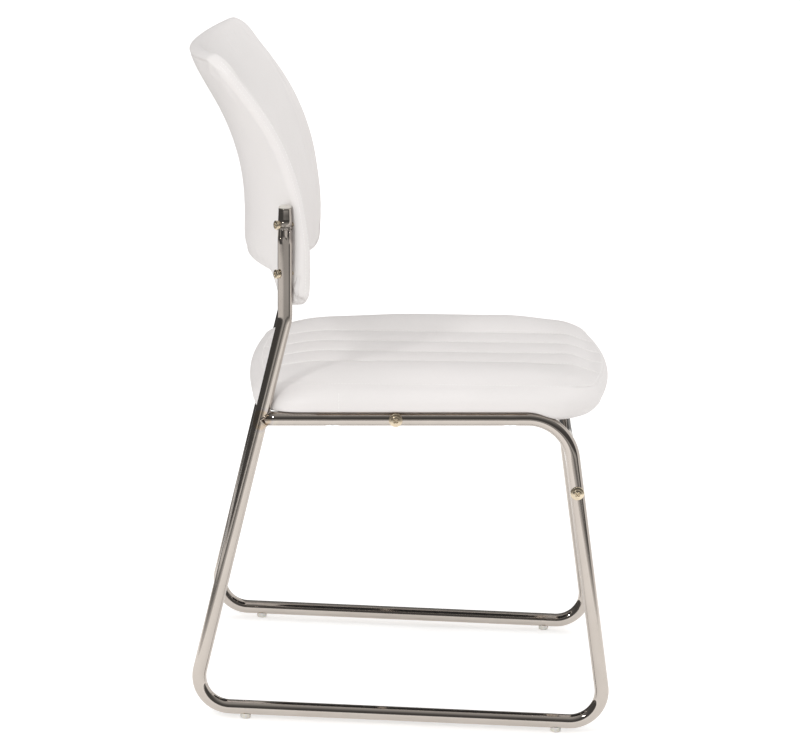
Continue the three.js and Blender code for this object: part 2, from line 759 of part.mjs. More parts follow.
function seatBoard() {
  let board = toSolid(flatSheet(seatBoardInset, boardBase, seatBoardThickness));
  const top = boardBase + seatBoardThickness;
  const up = new THREE.Vector3(0, 0, 1);
  Object.values(sides).forEach((side) => {
    Object.values(seatBoltYs).forEach((y) => {
      const base = new THREE.Vector3(side * frameHalfWidth, y, top);
      board = board.subtract(teeNutTool(base, up, seatBoardThickness));
    });
  });
  return toGeometry(board);
}

// Back outline from the front, drawn in by an inset
function backOutline(inset) {
  const halfWidth = backHalfWidth - inset;
  const topCorner = backTopCorner - inset / 2;
  const earCorner = backEarCorner - inset / 2;
  const ear = (x) => smooth((Math.abs(x) - backEarInner) / (backEarOuter - backEarInner));
  const climb = (x) => backTopClimb * (x / halfWidth) ** 2;
  return {
    halfWidth,
    low: (x) => {
      const edge = backBottomHeight + (backEarHeight - backBottomHeight) * ear(x);
      return edge + inset + cornerFall(x, halfWidth, earCorner);
    },
    high: (x) => backTopHeight - inset + climb(x) - cornerFall(x, halfWidth, topCorner),
  };
}

// How far the side view has leaned back at a height
function backLean(z) {
  const climb = Math.max(0, z - backBendStart);
  const bendTop = backBendRadius * Math.sin(backBendLean);
  const bent = Math.min(climb, bendTop);
  const arc = backBendRadius - Math.sqrt(backBendRadius ** 2 - bent ** 2);
  return arc + (climb - bent) * Math.tan(backBendLean);
}

// Middle surface of the back: its side edges follow the lean, and it is less curved at the top
function backMiddleY(x, z) {
  const share = Math.max(0, (z - backBendStart) / (backTopHeight - backBendStart));
  const radius = backWrapRadius + (backWrapRadiusTop - backWrapRadius) * share ** 1.5;
  const edgeY = wrapCentreY + Math.sqrt(backWrapRadius ** 2 - backHalfWidth ** 2);
  return edgeY + backLean(z) + Math.sqrt(radius ** 2 - x ** 2) - Math.sqrt(radius ** 2 - backHalfWidth ** 2);
}

function backPlace(x, z, depth) {
  const acrossSlope = (backMiddleY(x + probe, z) - backMiddleY(x - probe, z)) / (2 * probe);
  const upSlope = (backMiddleY(x, z + probe) - backMiddleY(x, z - probe)) / (2 * probe);
  const normal = new THREE.Vector3(-acrossSlope, 1, -upSlope).normalize();
  return new THREE.Vector3(x, backMiddleY(x, z), z).addScaledVector(normal, depth);
}

const backColumns = bothWays([0, 0.22, 0.44, 0.62, 0.7, 0.77, 0.84, 0.91, 0.96, 0.99, 1]);
const backRowShares = [0, 0.03, 0.1, 0.24, 0.38, 0.52, 0.66, 0.8, 0.91, 0.98, 1];
const boardRear = backBoardThickness - backBoardFront;

// The padding swells from the edges to the middle, more fully low down
function backSwell(u, v) {
  const across = Math.min(1, Math.abs(u) / backSwellShare);
  const low = 1 - (1 - backLowSwellShare) * (1 - 2 * v) ** 12;
  const high = 1 - (2 * v - 1) ** 4;
  return (1 - across ** 2.5) * (v < 0.5 ? low : high);
}

const rearFace = (u, v) => backRearEdge + (backRearMiddle - backRearEdge) * backSwell(u, v);

function ridgeDepth(z) {
  const upper = smooth((z - backRidgeTurnHeight) / backRidgeTurnLength);
  return -backRidgeLower - (backRidgeUpper - backRidgeLower) * upper;
}

function frontFace(x, z, u, v) {
  return ridgeDepth(z) - backProud - backFrontSwell * backSwell(u, v);
}

// Cover: rear face, rounded edge and a rim that wraps forward round board and pad
function backCover() {
  const recess = backBoardInset - backRimGap;
  return layeredForm({
    outline: backOutline,
    place: backPlace,
    columns: backColumns,
    rows: backRowShares,
    layers: [
      { inset: backEdgeRound, depth: (x, z, u, v) => rearFace(u, v) },
      { inset: backEdgeRound * 0.3, depth: (x, z, u, v) => rearFace(u, v) - backEdgeRound * 0.35 },
      { inset: 0, depth: backRearEdge / 3 },
      { inset: backRidgeInset, depth: (x, z) => ridgeDepth(z) },
      { inset: recess, depth: (x, z) => ridgeDepth(z) },
      { inset: recess, depth: boardRear + contactGap },
    ],
  });
}

// Front pad: fills the cover's rim and stands proud of it
function backPad() {
  return layeredForm({
    outline: backOutline,
    place: backPlace,
    columns: backColumns,
    rows: backRowShares,
    layers: [
      { inset: backBoardInset, depth: -backBoardFront - contactGap },
      { inset: backBoardInset, depth: (x, z) => ridgeDepth(z) },
      { inset: backBoardInset + backEdgeRound, depth: frontFace },
    ],
  });
}

function backBoard() {
  return layeredForm({
    outline: backOutline,
    place: backPlace,
    columns: backColumns,
    rows: backRowShares,
    layers: [{ inset: backBoardInset, depth: boardRear }, { inset: backBoardInset, depth: -backBoardFront }],
  });
}

// Places along a back bolt's axis, measured from the tube's centre. The shell and the upright meet
// at the upper bolt and lie a little further apart at the lower one. The board leans at the upper
// bolt, so the tee nut's flange is let in until its rim clears the board's front.
function backBoltPlaces(side, height) {
  const { centre, axis } = backBolt(side, height);
  const at = (distance) => centre.clone().addScaledVector(axis, distance);
  const slope = (backLean(height + probe) - backLean(height - probe)) / (2 * probe);
  const nutSink = contactGap + teeFlangeRadius * Math.abs(slope);
  const tubeStep = uprightY(height) - uprightY(backUpperBoltHeight);
  const shellStep = backLean(height) - backLean(backUpperBoltHeight);
  const boardFront = (shellStep - tubeStep) * axis.y - boltReach - backBoardFront;
  return { axis, at, boardFront, nutSink };
}

// The upright and its cap press a groove in the cover
function uprightTool(side) {
  const from = new THREE.Vector3(side * frameHalfWidth, kinkY, kinkHeight);
  const to = new THREE.Vector3(side * frameHalfWidth, uprightTop.y, uprightTop.z + capDome + contactGap);
  return rod(from, to, tubeRadius + contactGap, copeSides);
}

// Assembly

const seatGroup = new THREE.Group();
seatGroup.position.z = seatRailHeight;
seatGroup.rotation.x = -seatRailRise;
chair.add(seatGroup);

for (const [label, side] of Object.entries(sides)) {
  addMesh(`side_frame_${label}`, sideFrame(side), chrome);
  addMesh(`tube_cap_${label}`, tubeCap(side), capPlastic);
  for (const [name, place] of Object.entries(crossPlaces)) {
    addMesh(`${name}_cross_insert_${label}`, crossInsert(side, place), zinc);
    addMesh(`${name}_cross_bolt_${label}`, crossBolt(side, place), nickel);
    addMesh(`${name}_cross_washer_${label}`, crossWasher(side, name), nickel);
  }
  addMesh(`glide_front_${label}`, glide(side, -glideY), nylon);
  addMesh(`glide_rear_${label}`, glide(side, glideY), nylon);
}
addMesh('front_cross_tube', crossTube('front'), chrome);
addMesh('seat_cross_tube', crossTube('seat'), chrome);

addMesh('seat_board', seatBoard(), plywood, seatGroup);
addMesh('seat_cushion', seatCushion(), vinyl, seatGroup);
const dustCoverBase = boardBase - contactGap - dustCoverThickness;
const dustCover = flatSheet(dustCoverInset, dustCoverBase, dustCoverThickness);
addMesh('seat_dust_cover', dustCover, blackCloth, seatGroup);

const dimpleSag = dimpleRadius - Math.sqrt(dimpleRadius ** 2 - boltHeadRadius ** 2);
const seatBoltSeat = -(tubeRadius - dimpleDepth) - dimpleSag - contactGap;
const seatBoltLength = boardBase + seatBoardThickness - seatBoltSeat - teeFlangeThickness;
for (const [label, side] of Object.entries(sides)) {
  for (const [end, y] of Object.entries(seatBoltYs)) {
    const bolt = boltGeometry(seatBoltLength);
    const base = new THREE.Vector3(side * frameHalfWidth, y, seatBoltSeat);
    addMesh(`seat_bolt_${end}_${label}`, aimed(bolt, base, new THREE.Vector3(0, 0, -1)), zinc, seatGroup);
    const nut = teeNut(seatBoardThickness - contactGap);
    nut.translate(side * frameHalfWidth, y, boardBase + seatBoardThickness);
    addMesh(`seat_tee_nut_${end}_${label}`, nut, zinc, seatGroup);
  }
}

let boardSolid = toSolid(backBoard());
let coverSolid = toSolid(backCover());
for (const [label, side] of Object.entries(sides)) {
  coverSolid = coverSolid.subtract(uprightTool(side));
  for (const [level, height] of Object.entries(backBoltHeights)) {
    const { axis, at, boardFront, nutSink } = backBoltPlaces(side, height);
    const inward = axis.clone().negate();
    const nutBase = at(boardFront + nutSink);
    const nut = teeNut(backBoardThickness - nutSink - contactGap);
    boardSolid = boardSolid.subtract(teeNutTool(nutBase, inward, backBoardThickness));
    const coverHole = rod(at(boardFront + backBoardThickness / 2), at(0), holeRadius, boltSides);
    coverSolid = coverSolid.subtract(coverHole);
    addMesh(`back_tee_nut_${level}_${label}`, aimed(nut, nutBase, inward), zinc);
    const head = tubeRadius + washerHeight;
    const bolt = boltGeometry(head - boardFront - nutSink - teeFlangeThickness);
    const washer = cupWasher(at(0), axis, uprightTool(side), backWasherRadius);
    addMesh(`back_bolt_${level}_${label}`, aimed(bolt, at(head), axis), nickel);
    addMesh(`back_washer_${level}_${label}`, washer, nickel);
  }
}
addMesh('back_board', toGeometry(boardSolid), plywood);
addMesh('back_cover', toGeometry(coverSolid), vinyl);
addMesh('back_front_pad', backPad(), vinyl);

const bounds = new THREE.Box3().setFromObject(chair);
chair.position.y = -(bounds.min.y + bounds.max.y) / 2;

export default chair;
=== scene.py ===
import math
import random

import bmesh
import bpy
import numpy as np
from mathutils import Matrix, Vector
from mathutils.bvhtree import BVHTree


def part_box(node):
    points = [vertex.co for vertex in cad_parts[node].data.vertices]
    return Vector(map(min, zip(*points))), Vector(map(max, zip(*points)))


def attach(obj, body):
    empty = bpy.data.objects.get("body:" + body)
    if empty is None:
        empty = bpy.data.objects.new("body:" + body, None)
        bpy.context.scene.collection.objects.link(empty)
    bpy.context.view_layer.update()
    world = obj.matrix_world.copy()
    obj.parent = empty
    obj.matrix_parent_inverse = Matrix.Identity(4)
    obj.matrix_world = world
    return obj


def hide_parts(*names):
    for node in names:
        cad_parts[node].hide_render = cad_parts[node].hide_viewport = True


# A sled base visitor chair: chromed tube frames with a channelled seat and a wrap-round back in
# white vinyl. Sizes below are millimetres, measured before the chair was centred on its origin.
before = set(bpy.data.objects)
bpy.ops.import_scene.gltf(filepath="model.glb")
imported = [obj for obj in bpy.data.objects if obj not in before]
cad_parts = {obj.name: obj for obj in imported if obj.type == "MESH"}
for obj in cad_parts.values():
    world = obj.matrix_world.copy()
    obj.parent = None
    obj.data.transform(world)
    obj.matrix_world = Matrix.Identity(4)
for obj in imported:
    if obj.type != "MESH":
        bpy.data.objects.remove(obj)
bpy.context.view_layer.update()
scene = bpy.context.scene
mm = 0.001
fitGap = 0.3  # between pieces that touch
hair = 0.01  # a radius or a step too small to see
mergeGap = 1e-7
sides = {"right": -1, "left": 1}

glideLow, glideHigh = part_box("glide_front_right")
glidePlace = 206.2
shiftY = (glideLow.y + glideHigh.y) / 2 / mm + glidePlace  # how far the chair was moved to centre it
print("frame read, chair moved by", round(shiftY, 2), "mm")

# Small helpers


def smoothStep(value):
    t = np.clip(value, 0, 1)
    return t * t * (3 - 2 * t)


def hump(gap, width):
    return np.exp(-(gap / width) ** 2)


def unit(vector):
    return vector / np.linalg.norm(vector)


def toScene(points):
    return (np.asarray(points, float) + (0, shiftY, 0)) * mm


def link(name, mesh):
    piece = bpy.data.objects.new(name, mesh)
    scene.collection.objects.link(piece)
    return piece


def facesOutward(mesh, merge=True):
    work = bmesh.new()
    work.from_mesh(mesh)
    if merge:
        bmesh.ops.remove_doubles(work, verts=work.verts, dist=mergeGap)
    bmesh.ops.recalc_face_normals(work, faces=work.faces)
    work.to_mesh(mesh)
    work.free()
    mesh.shade_smooth()


def meshPiece(name, points, faces, tidyUp=True):
    mesh = bpy.data.meshes.new(name)
    mesh.from_pydata(toScene(points).tolist(), [], faces)
    mesh.update()
    if tidyUp:
        facesOutward(mesh)
    return link(name, mesh)


# A part about its own centre, for a tree to set out
def loosePart(name, points, faces):
    mesh = bpy.data.meshes.new(name)
    mesh.from_pydata((points * mm).tolist(), [], faces)
    facesOutward(mesh)
    return link(name, mesh)


def coordinates(mesh):
    values = np.empty(len(mesh.vertices) * 3, np.float32)
    mesh.vertices.foreach_get("co", values)
    return values.reshape(-1, 3).astype(float) / mm - (0, shiftY, 0)


def setCoordinates(mesh, points):
    mesh.vertices.foreach_set("co", toScene(points).astype(np.float32).ravel())
    mesh.update()


def vertexNormals(mesh):
    values = np.empty(len(mesh.vertices) * 3, np.float32)
    mesh.vertex_normals.foreach_get("vector", values)
    return values.reshape(-1, 3).astype(float)


def baked(piece):
    graph = bpy.context.evaluated_depsgraph_get()
    graph.update()
    return bpy.data.meshes.new_from_object(piece.evaluated_get(graph), depsgraph=graph)


def discard(piece):
    bpy.data.objects.remove(piece, do_unlink=True)


def subdivided(piece, levels):
    name = piece.name
    modifier = piece.modifiers.new("round", "SUBSURF")
    modifier.levels = levels
    modifier.render_levels = levels
    mesh = baked(piece)
    discard(piece)
    mesh.shade_smooth()
    return link(name, mesh)


def finish(piece, material, nodes=()):
    piece.data.materials.clear()
    piece.data.materials.append(material)
    for polygon in piece.data.polygons:
        polygon.material_index = 0
    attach(piece, "root")
    if nodes:
        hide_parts(*nodes)


# Shader groups that several finishes share
def shaderGroup(name, inputs, outputs):
    group = bpy.data.node_groups.new(name, "ShaderNodeTree")
    group.interface.new_socket("Vector", in_out="INPUT", socket_type="NodeSocketVector")
    for label, value in inputs.items():
        socket = group.interface.new_socket(label, in_out="INPUT", socket_type="NodeSocketFloat")
        socket.default_value = value
    for label in outputs:
        group.interface.new_socket(label, in_out="OUTPUT", socket_type="NodeSocketFloat")
    return group, group.nodes.new("NodeGroupInput"), group.nodes.new("NodeGroupOutput")


def add(tree, kind, **settings):
    node = tree.nodes.new(kind)
    for label, value in settings.items():
        if label == "inputs":
            for key, item in value.items():
                if isinstance(item, bpy.types.NodeSocket):
                    tree.links.new(item, node.inputs[key])
                else:
                    node.inputs[key].default_value = item
        else:
            setattr(node, label, value)
    return node


def maths(tree, operation, first, second=0.0):
    return add(tree, "ShaderNodeMath", operation=operation, inputs={0: first, 1: second}).outputs[0]


def ramp(tree, factor, stops):
    node = add(tree, "ShaderNodeValToRGB", inputs={"Fac": factor})
    points = node.color_ramp.elements
    while len(points) < len(stops):
        points.new(0.5)
    for point, (place, colour) in zip(points, stops):
        point.position = place
        point.color = (*colour, 1)
    return node.outputs["Color"]


def ranged(tree, value, low, high, fromLow=0.0, fromHigh=1.0):
    settings = {"Value": value, "From Min": fromLow, "From Max": fromHigh, "To Min": low, "To Max": high}
    return add(tree, "ShaderNodeMapRange", inputs=settings).outputs["Result"]


def noise(tree, place, scale, detail=2.0, **more):
    settings = {"Vector": place, "Scale": scale, "Detail": detail, **more}
    return add(tree, "ShaderNodeTexNoise", inputs=settings).outputs


# Grain of a coated cloth: pebbles, pores between them and slack ripples
hide = {
    "pebbleShare": 0.35,
    "poreWidth": 0.16,
    "rippleShare": 6.0,
    "drift": 300.0,
    "driftReach": 0.0012,
    "tone": 7.0,
}


def buildHideGrain():
    inputs = {"Pebble": 800.0, "Ripple": 25.0}
    group, start, end = shaderGroup("hideGrain", inputs, ["Height", "Pore", "Tone"])
    vector = start.outputs["Vector"]
    drift = noise(group, vector, hide["drift"])["Color"]
    bent = add(group, "ShaderNodeVectorMath", operation="MULTIPLY_ADD",
               inputs={0: drift, 1: (hide["driftReach"],) * 3, 2: vector})
    cells = add(group, "ShaderNodeTexVoronoi", feature="DISTANCE_TO_EDGE",
                inputs={"Vector": bent.outputs[0], "Scale": start.outputs["Pebble"]})
    pebble = ranged(group, cells.outputs["Distance"], 0.0, 1.0, 0.0, hide["poreWidth"])
    ripple = noise(group, vector, start.outputs["Ripple"], detail=4.0, Roughness=0.45)["Fac"]
    slack = maths(group, "MULTIPLY", ripple, hide["rippleShare"])
    height = maths(group, "ADD", maths(group, "MULTIPLY", pebble, hide["pebbleShare"]), slack)
    tone = noise(group, vector, hide["tone"], detail=3.0)["Fac"]
    group.links.new(height, end.inputs["Height"])
    group.links.new(maths(group, "SUBTRACT", 1.0, pebble), end.inputs["Pore"])
    group.links.new(tone, end.inputs["Tone"])
    return group


# Marks on plated metal: wiped smears, hairlines and faint dust
plate = {
    "hairlineStretch": (8.0, 1.0, 1.0),
    "dust": 420.0,
    "smearFrom": (0.35, 0.7),
    "dustFrom": (0.62, 0.78),
    "dustRough": 0.12,
    "bumpDepth": 0.0001,
}


def buildPlateMarks():
    inputs = {"Smear": 15.0, "Hairline": 60.0}
    group, start, end = shaderGroup("plateMarks", inputs, ["Smear", "Height", "Dust"])
    vector = start.outputs["Vector"]
    smear = noise(group, vector, start.outputs["Smear"], detail=5.0, Distortion=0.6)["Fac"]
    stretch = add(group, "ShaderNodeMapping", inputs={"Vector": vector, "Scale": plate["hairlineStretch"]})
    hairlines = noise(group, stretch.outputs[0], start.outputs["Hairline"], detail=6.0)["Fac"]
    dust = noise(group, vector, plate["dust"], detail=3.0)["Fac"]
    group.links.new(ranged(group, smear, 0.0, 1.0, *plate["smearFrom"]), end.inputs["Smear"])
    group.links.new(hairlines, end.inputs["Height"])
    group.links.new(ranged(group, dust, 0.0, 1.0, *plate["dustFrom"]), end.inputs["Dust"])
    return group


hideGrain = buildHideGrain()
plateMarks = buildPlateMarks()


def newMaterial(name):
    material = bpy.data.materials.new(name)
    material.use_nodes = True
    tree = material.node_tree
    shader = tree.nodes["Principled BSDF"]
    place = add(tree, "ShaderNodeTexCoord").outputs["Object"]
    return material, tree, shader, place


def marked(tree, group, place, **values):
    node = add(tree, "ShaderNodeGroup", node_tree=group)
    tree.links.new(place, node.inputs["Vector"])
    for label, value in values.items():
        node.inputs[label].default_value = value
    return node


def bumped(tree, shader, height, strength, depth):
    bump = add(tree, "ShaderNodeBump", inputs={"Height": height, "Strength": strength, "Distance": depth})
    tree.links.new(bump.outputs["Normal"], shader.inputs["Normal"])


def vinylFinish(name, look):
    material, tree, shader, place = newMaterial(name)
    grain = marked(tree, hideGrain, place, Pebble=look["pebble"], Ripple=look["ripple"])
    tone = ramp(tree, grain.outputs["Tone"], [(0.3, look["deep"]), (0.7, look["light"])])
    # Pores are darkened in the colour as painted shade in the grain's hollows; the same mask also makes them
    # rougher
    pores = maths(tree, "MULTIPLY", grain.outputs["Pore"], look["paintedPoreShare"])
    shade = (*(channel * look["paintedPoreShade"] for channel in look["deep"]), 1)
    colour = add(tree, "ShaderNodeMix", data_type="RGBA", inputs={"Factor": pores, 6: tone, 7: shade})
    tree.links.new(colour.outputs[2], shader.inputs["Base Color"])
    tree.links.new(ranged(tree, grain.outputs["Pore"], *look["rough"]), shader.inputs["Roughness"])
    bumped(tree, shader, grain.outputs["Height"], look["bump"], look["bumpDepth"])
    return material


def plateFinish(name, look, tint=None):
    material, tree, shader, place = newMaterial(name)
    marks = marked(tree, plateMarks, place, Smear=look["smear"], Hairline=look["hairline"])
    base = ramp(tree, marks.outputs["Smear"], [(0.0, look["clean"]), (1.0, look["dull"])])
    if tint:
        base = tint(tree, place, base)
    shader.inputs["Metallic"].default_value = 1.0
    tree.links.new(base, shader.inputs["Base Color"])
    dusty = maths(tree, "MULTIPLY", marks.outputs["Dust"], plate["dustRough"])
    smeared = ranged(tree, marks.outputs["Smear"], *look["rough"])
    tree.links.new(maths(tree, "ADD", smeared, dusty), shader.inputs["Roughness"])
    bumped(tree, shader, marks.outputs["Height"], look["bump"], plate["bumpDepth"])
    return material


moulded = {
    "cloud": 90.0,
    "fine": 1400.0,
    "smoother": 0.05,
    "rougher": 0.08,
    "depth": (0.004, 0.003, 0.002),
    "bump": 0.2,
    "bumpDepth": 0.0001,
}


def mouldedFinish(name, light, deep, rough, translucent=0.0):
    material, tree, shader, place = newMaterial(name)
    cloud = noise(tree, place, moulded["cloud"], detail=4.0)["Fac"]
    tree.links.new(ramp(tree, cloud, [(0.35, deep), (0.65, light)]), shader.inputs["Base Color"])
    fine = noise(tree, place, moulded["fine"])["Fac"]
    roughness = ranged(tree, fine, rough - moulded["smoother"], rough + moulded["rougher"])
    tree.links.new(roughness, shader.inputs["Roughness"])
    shader.inputs["Subsurface Weight"].default_value = translucent
    shader.inputs["Subsurface Radius"].default_value = moulded["depth"]
    bumped(tree, shader, fine, moulded["bump"], moulded["bumpDepth"])
    return material


# Straw and blue heat colours in the plating round each weld, from a point on the left frame
# that is mirrored to the right one
weldHeat = {
    "reach": 0.026,
    "ripple": 180.0,
    "ragged": 0.004,
    "strength": 0.5,
    "fadeFrom": 0.5,
    "colours": [(0.3, (0.34, 0.27, 0.2)), (0.5, (0.5, 0.36, 0.2)), (0.68, (0.42, 0.4, 0.44)),
                (0.85, (0.7, 0.64, 0.52))],
}


def weldTint(centre):
    def apply(tree, place, base):
        x, y, z = add(tree, "ShaderNodeSeparateXYZ", inputs={0: place}).outputs
        across = maths(tree, "ABSOLUTE", x)
        mirrored = add(tree, "ShaderNodeCombineXYZ", inputs={0: across, 1: y, 2: z}).outputs[0]
        gap = add(tree, "ShaderNodeVectorMath", operation="DISTANCE", inputs={0: mirrored, 1: centre})
        ripple = maths(tree, "MULTIPLY", noise(tree, place, weldHeat["ripple"])["Fac"], weldHeat["ragged"])
        share = maths(tree, "DIVIDE", maths(tree, "ADD", gap.outputs["Value"], ripple), weldHeat["reach"])
        heat = ramp(tree, share, weldHeat["colours"])
        fade = ranged(tree, share, weldHeat["strength"], 0.0, weldHeat["fadeFrom"], 1.0)
        mix = add(tree, "ShaderNodeMix", data_type="RGBA", inputs={"Factor": fade, 6: base, 7: heat})
        return mix.outputs[2]
    return apply


# Shapes of tube, and the side view's lines that the frames, bolts and soft parts are placed from

tube = {
    "radius": 9.5,
    "halfWidth": 231,
    "glideHeight": 5,
    "frontFoot": -272.5,
    "railLength": 551,
    "kinkHeight": 543,
    "rearLean": 11.24,
    "frontLean": 10.06,
    "uprightLean": 2.06,
    "uprightLength": 145.3,
    "seatRailHeight": 418.2,
    "seatRailRise": 2.61,
    "bends": (50, 42, 42, 60),
    "tipRadius": 8.4,
    "tipLength": 28,
    "tipStations": (2, 5, 9, 14),
    "mouth": 7.2,
    "mouthDepth": 10,
    "sides": 40,
    "bendStep": 3,
    "straightStep": 22,
    "dimples": (107, -124),
    "dimpleDepth": 2.4,
    "dimpleRadius": 26,
    "dimpleStep": 1.5,
    "dimpleHalf": 14,
    "dimpleReach": 20,
    "dimpleBand": 12,
    "dimpleSpread": 0.05,
}


def slope(label):
    return math.tan(math.radians(tube[label]))


def railZ(y):
    return tube["seatRailHeight"] - y * slope("seatRailRise")


floorLine = tube["glideHeight"] + tube["radius"]
rearFoot = tube["frontFoot"] + tube["railLength"]
rearTan, frontTan, riseTan = (slope(label) for label in ("rearLean", "frontLean", "seatRailRise"))
kinkY = rearFoot - (tube["kinkHeight"] - floorLine) * rearTan
climb = tube["seatRailHeight"] - floorLine
shoulderY = (tube["frontFoot"] + climb * frontTan) / (1 + riseTan * frontTan)
weldY = (rearFoot - climb * rearTan) / (1 - riseTan * rearTan)
uprightAngle = math.radians(tube["uprightLean"])
riseAngle = math.radians(tube["seatRailRise"])
uprightAxis = np.array([math.sin(uprightAngle), math.cos(uprightAngle)])
railAxis = np.array([math.cos(riseAngle), -math.sin(riseAngle)])
kinkPoint = np.array([kinkY, tube["kinkHeight"]])
uprightTip = kinkPoint + uprightAxis * tube["uprightLength"]
weldPoint = np.array([weldY, railZ(weldY)])
sideCorners = [
    uprightTip,
    kinkPoint,
    np.array([rearFoot, floorLine]),
    np.array([tube["frontFoot"], floorLine]),
    np.array([shoulderY, railZ(shoulderY)]),
    weldPoint,
]


def uprightY(z):
    return kinkY + (z - tube["kinkHeight"]) * slope("uprightLean")


# The seat lies in a frame of its own on the seat rails
def fromSeat(points):
    x, y, z = np.asarray(points, float).T
    c, s = math.cos(riseAngle), math.sin(riseAngle)
    return np.stack([x, y * c + z * s, tube["seatRailHeight"] - y * s + z * c], axis=1)


def toSeat(points):
    x, y, z = np.asarray(points, float).T
    z = z - tube["seatRailHeight"]
    c, s = math.cos(riseAngle), math.sin(riseAngle)
    return np.stack([x, y * c - z * s, y * s + z * c], axis=1)


def bentLine(corners, radii, step):
    points, along = [corners[0]], [unit(corners[1] - corners[0])]
    for before, corner, after, radius in zip(corners, corners[1:], corners[2:], radii):
        inward, outward = unit(corner - before), unit(after - corner)
        cross = inward[0] * outward[1] - inward[1] * outward[0]
        turn = math.atan2(cross, inward @ outward)
        start = corner - inward * radius * math.tan(abs(turn) / 2)
        centre = start + np.sign(turn) * radius * np.array([-inward[1], inward[0]])
        count = max(2, round(abs(math.degrees(turn)) / step))
        for k in range(count + 1):
            c, s = math.cos(turn * k / count), math.sin(turn * k / count)
            spin = np.array([[c, -s], [s, c]])
            points.append(centre + spin @ (start - centre))
            along.append(spin @ inward)
    points.append(corners[-1])
    along.append(unit(corners[-1] - corners[-2]))
    return np.array(points), np.array(along)


# More stations on the straight runs, close together where extra holds a place along the last run
def refined(points, along, step, extra=()):
    outPoints, outAlong = [points[0]], [along[0]]
    for index in range(1, len(points)):
        a, b = points[index - 1], points[index]
        length = np.linalg.norm(b - a)
        shares = list(np.linspace(0, 1, max(1, round(length / step)) + 1)[1:-1]) if length > step else []
        if index == len(points) - 1:
            shares += [share for share in ((y - a[0]) / (b[0] - a[0]) for y in extra) if 0 < share < 1]
        for share in sorted(shares):
            outPoints.append(a + (b - a) * share)
            outAlong.append(along[index])
        outPoints.append(b)
        outAlong.append(along[index])
    return np.array(outPoints), np.array(outAlong)


# Rings of points round a line in the plane at x, joined to a closed skin
def ringRows(x, points, along, radii, around):
    turn = np.arange(around) * 2 * math.pi / around
    out = np.outer(radii, np.cos(turn))
    rows = np.empty((len(points), around, 3))
    rows[:, :, 0] = x + np.outer(radii, np.sin(turn))
    rows[:, :, 1] = points[:, 0:1] - along[:, 1:2] * out
    rows[:, :, 2] = points[:, 1:2] + along[:, 0:1] * out
    return rows


def skinned(rows, loop=False):
    count, around = rows.shape[:2]
    faces = []
    for row in range(count if loop else count - 1):
        below, above = row * around, (row + 1) % count * around
        for k in range(around):
            n = (k + 1) % around
            faces.append((below + k, below + n, above + n, above + k))
    if not loop:
        faces.append(tuple(range(around))[::-1])
        faces.append(tuple((count - 1) * around + k for k in range(around)))
    return rows.reshape(-1, 3), faces


def joined(parts):
    points, faces, base = [], [], 0
    for partPoints, partFaces in parts:
        points.append(np.asarray(partPoints, float))
        faces += [tuple(base + k for k in face) for face in partFaces]
        base += len(partPoints)
    return np.vstack(points), faces


# Geometry Nodes: a bar that follows a guide line, and small parts set out on a guide
def growthTree(name, inputs):
    tree = bpy.data.node_groups.new(name, "GeometryNodeTree")
    tree.interface.new_socket("Geometry", in_out="INPUT", socket_type="NodeSocketGeometry")
    for label, (kind, value) in inputs.items():
        socket = tree.interface.new_socket(label, in_out="INPUT", socket_type="NodeSocket" + kind)
        if value is not None:
            socket.default_value = value
    tree.interface.new_socket("Geometry", in_out="OUTPUT", socket_type="NodeSocketGeometry")
    return tree, tree.nodes.new("NodeGroupInput"), tree.nodes.new("NodeGroupOutput")


def realised(tree, start, end, geometry):
    real = add(tree, "GeometryNodeRealizeInstances", inputs={"Geometry": geometry})
    painted = add(tree, "GeometryNodeSetMaterial", inputs={"Geometry": real.outputs[0]})
    tree.links.new(start.outputs["Finish"], painted.inputs["Material"])
    tree.links.new(painted.outputs[0], end.inputs[0])


def named(tree, label):
    inputs = {"Name": label}
    return add(tree, "GeometryNodeInputNamedAttribute", data_type="FLOAT_VECTOR", inputs=inputs).outputs[0]


# Stitches: one thread loop every spacing, laid along the line and turned to the cloth
def buildStitchRow():
    inputs = {
        "Spacing": ("Float", 0.004),
        "Stitch": ("Object", None),
        "Finish": ("Material", None),
        "Seed": ("Int", 3),
    }
    tree, start, end = growthTree("stitchRow", inputs)
    line = add(tree, "GeometryNodeMeshToCurve", inputs={"Mesh": start.outputs["Geometry"]})
    even = add(tree, "GeometryNodeResampleCurve", mode="LENGTH", inputs={"Curve": line.outputs[0]})
    tree.links.new(start.outputs["Spacing"], even.inputs["Length"])
    tangent = add(tree, "GeometryNodeInputTangent")
    laid = add(tree, "FunctionNodeAlignRotationToVector", axis="X", inputs={"Vector": tangent.outputs[0]})
    faced = add(tree, "FunctionNodeAlignRotationToVector", axis="Z", pivot_axis="X")
    tree.links.new(laid.outputs[0], faced.inputs["Rotation"])
    tree.links.new(named(tree, "outward"), faced.inputs["Vector"])
    thread = add(tree, "GeometryNodeObjectInfo", inputs={"Object": start.outputs["Stitch"]})
    uneven = add(tree, "FunctionNodeRandomValue", data_type="FLOAT_VECTOR")
    uneven.inputs[0].default_value = (0.9, 0.94, 0.94)
    uneven.inputs[1].default_value = (1.05, 1.06, 1.06)
    tree.links.new(start.outputs["Seed"], uneven.inputs["Seed"])
    spots = add(tree, "GeometryNodeInstanceOnPoints", inputs={"Points": even.outputs[0]})
    tree.links.new(thread.outputs["Geometry"], spots.inputs["Instance"])
    tree.links.new(faced.outputs[0], spots.inputs["Rotation"])
    tree.links.new(uneven.outputs[0], spots.inputs["Scale"])
    realised(tree, start, end, spots.outputs[0])
    return tree


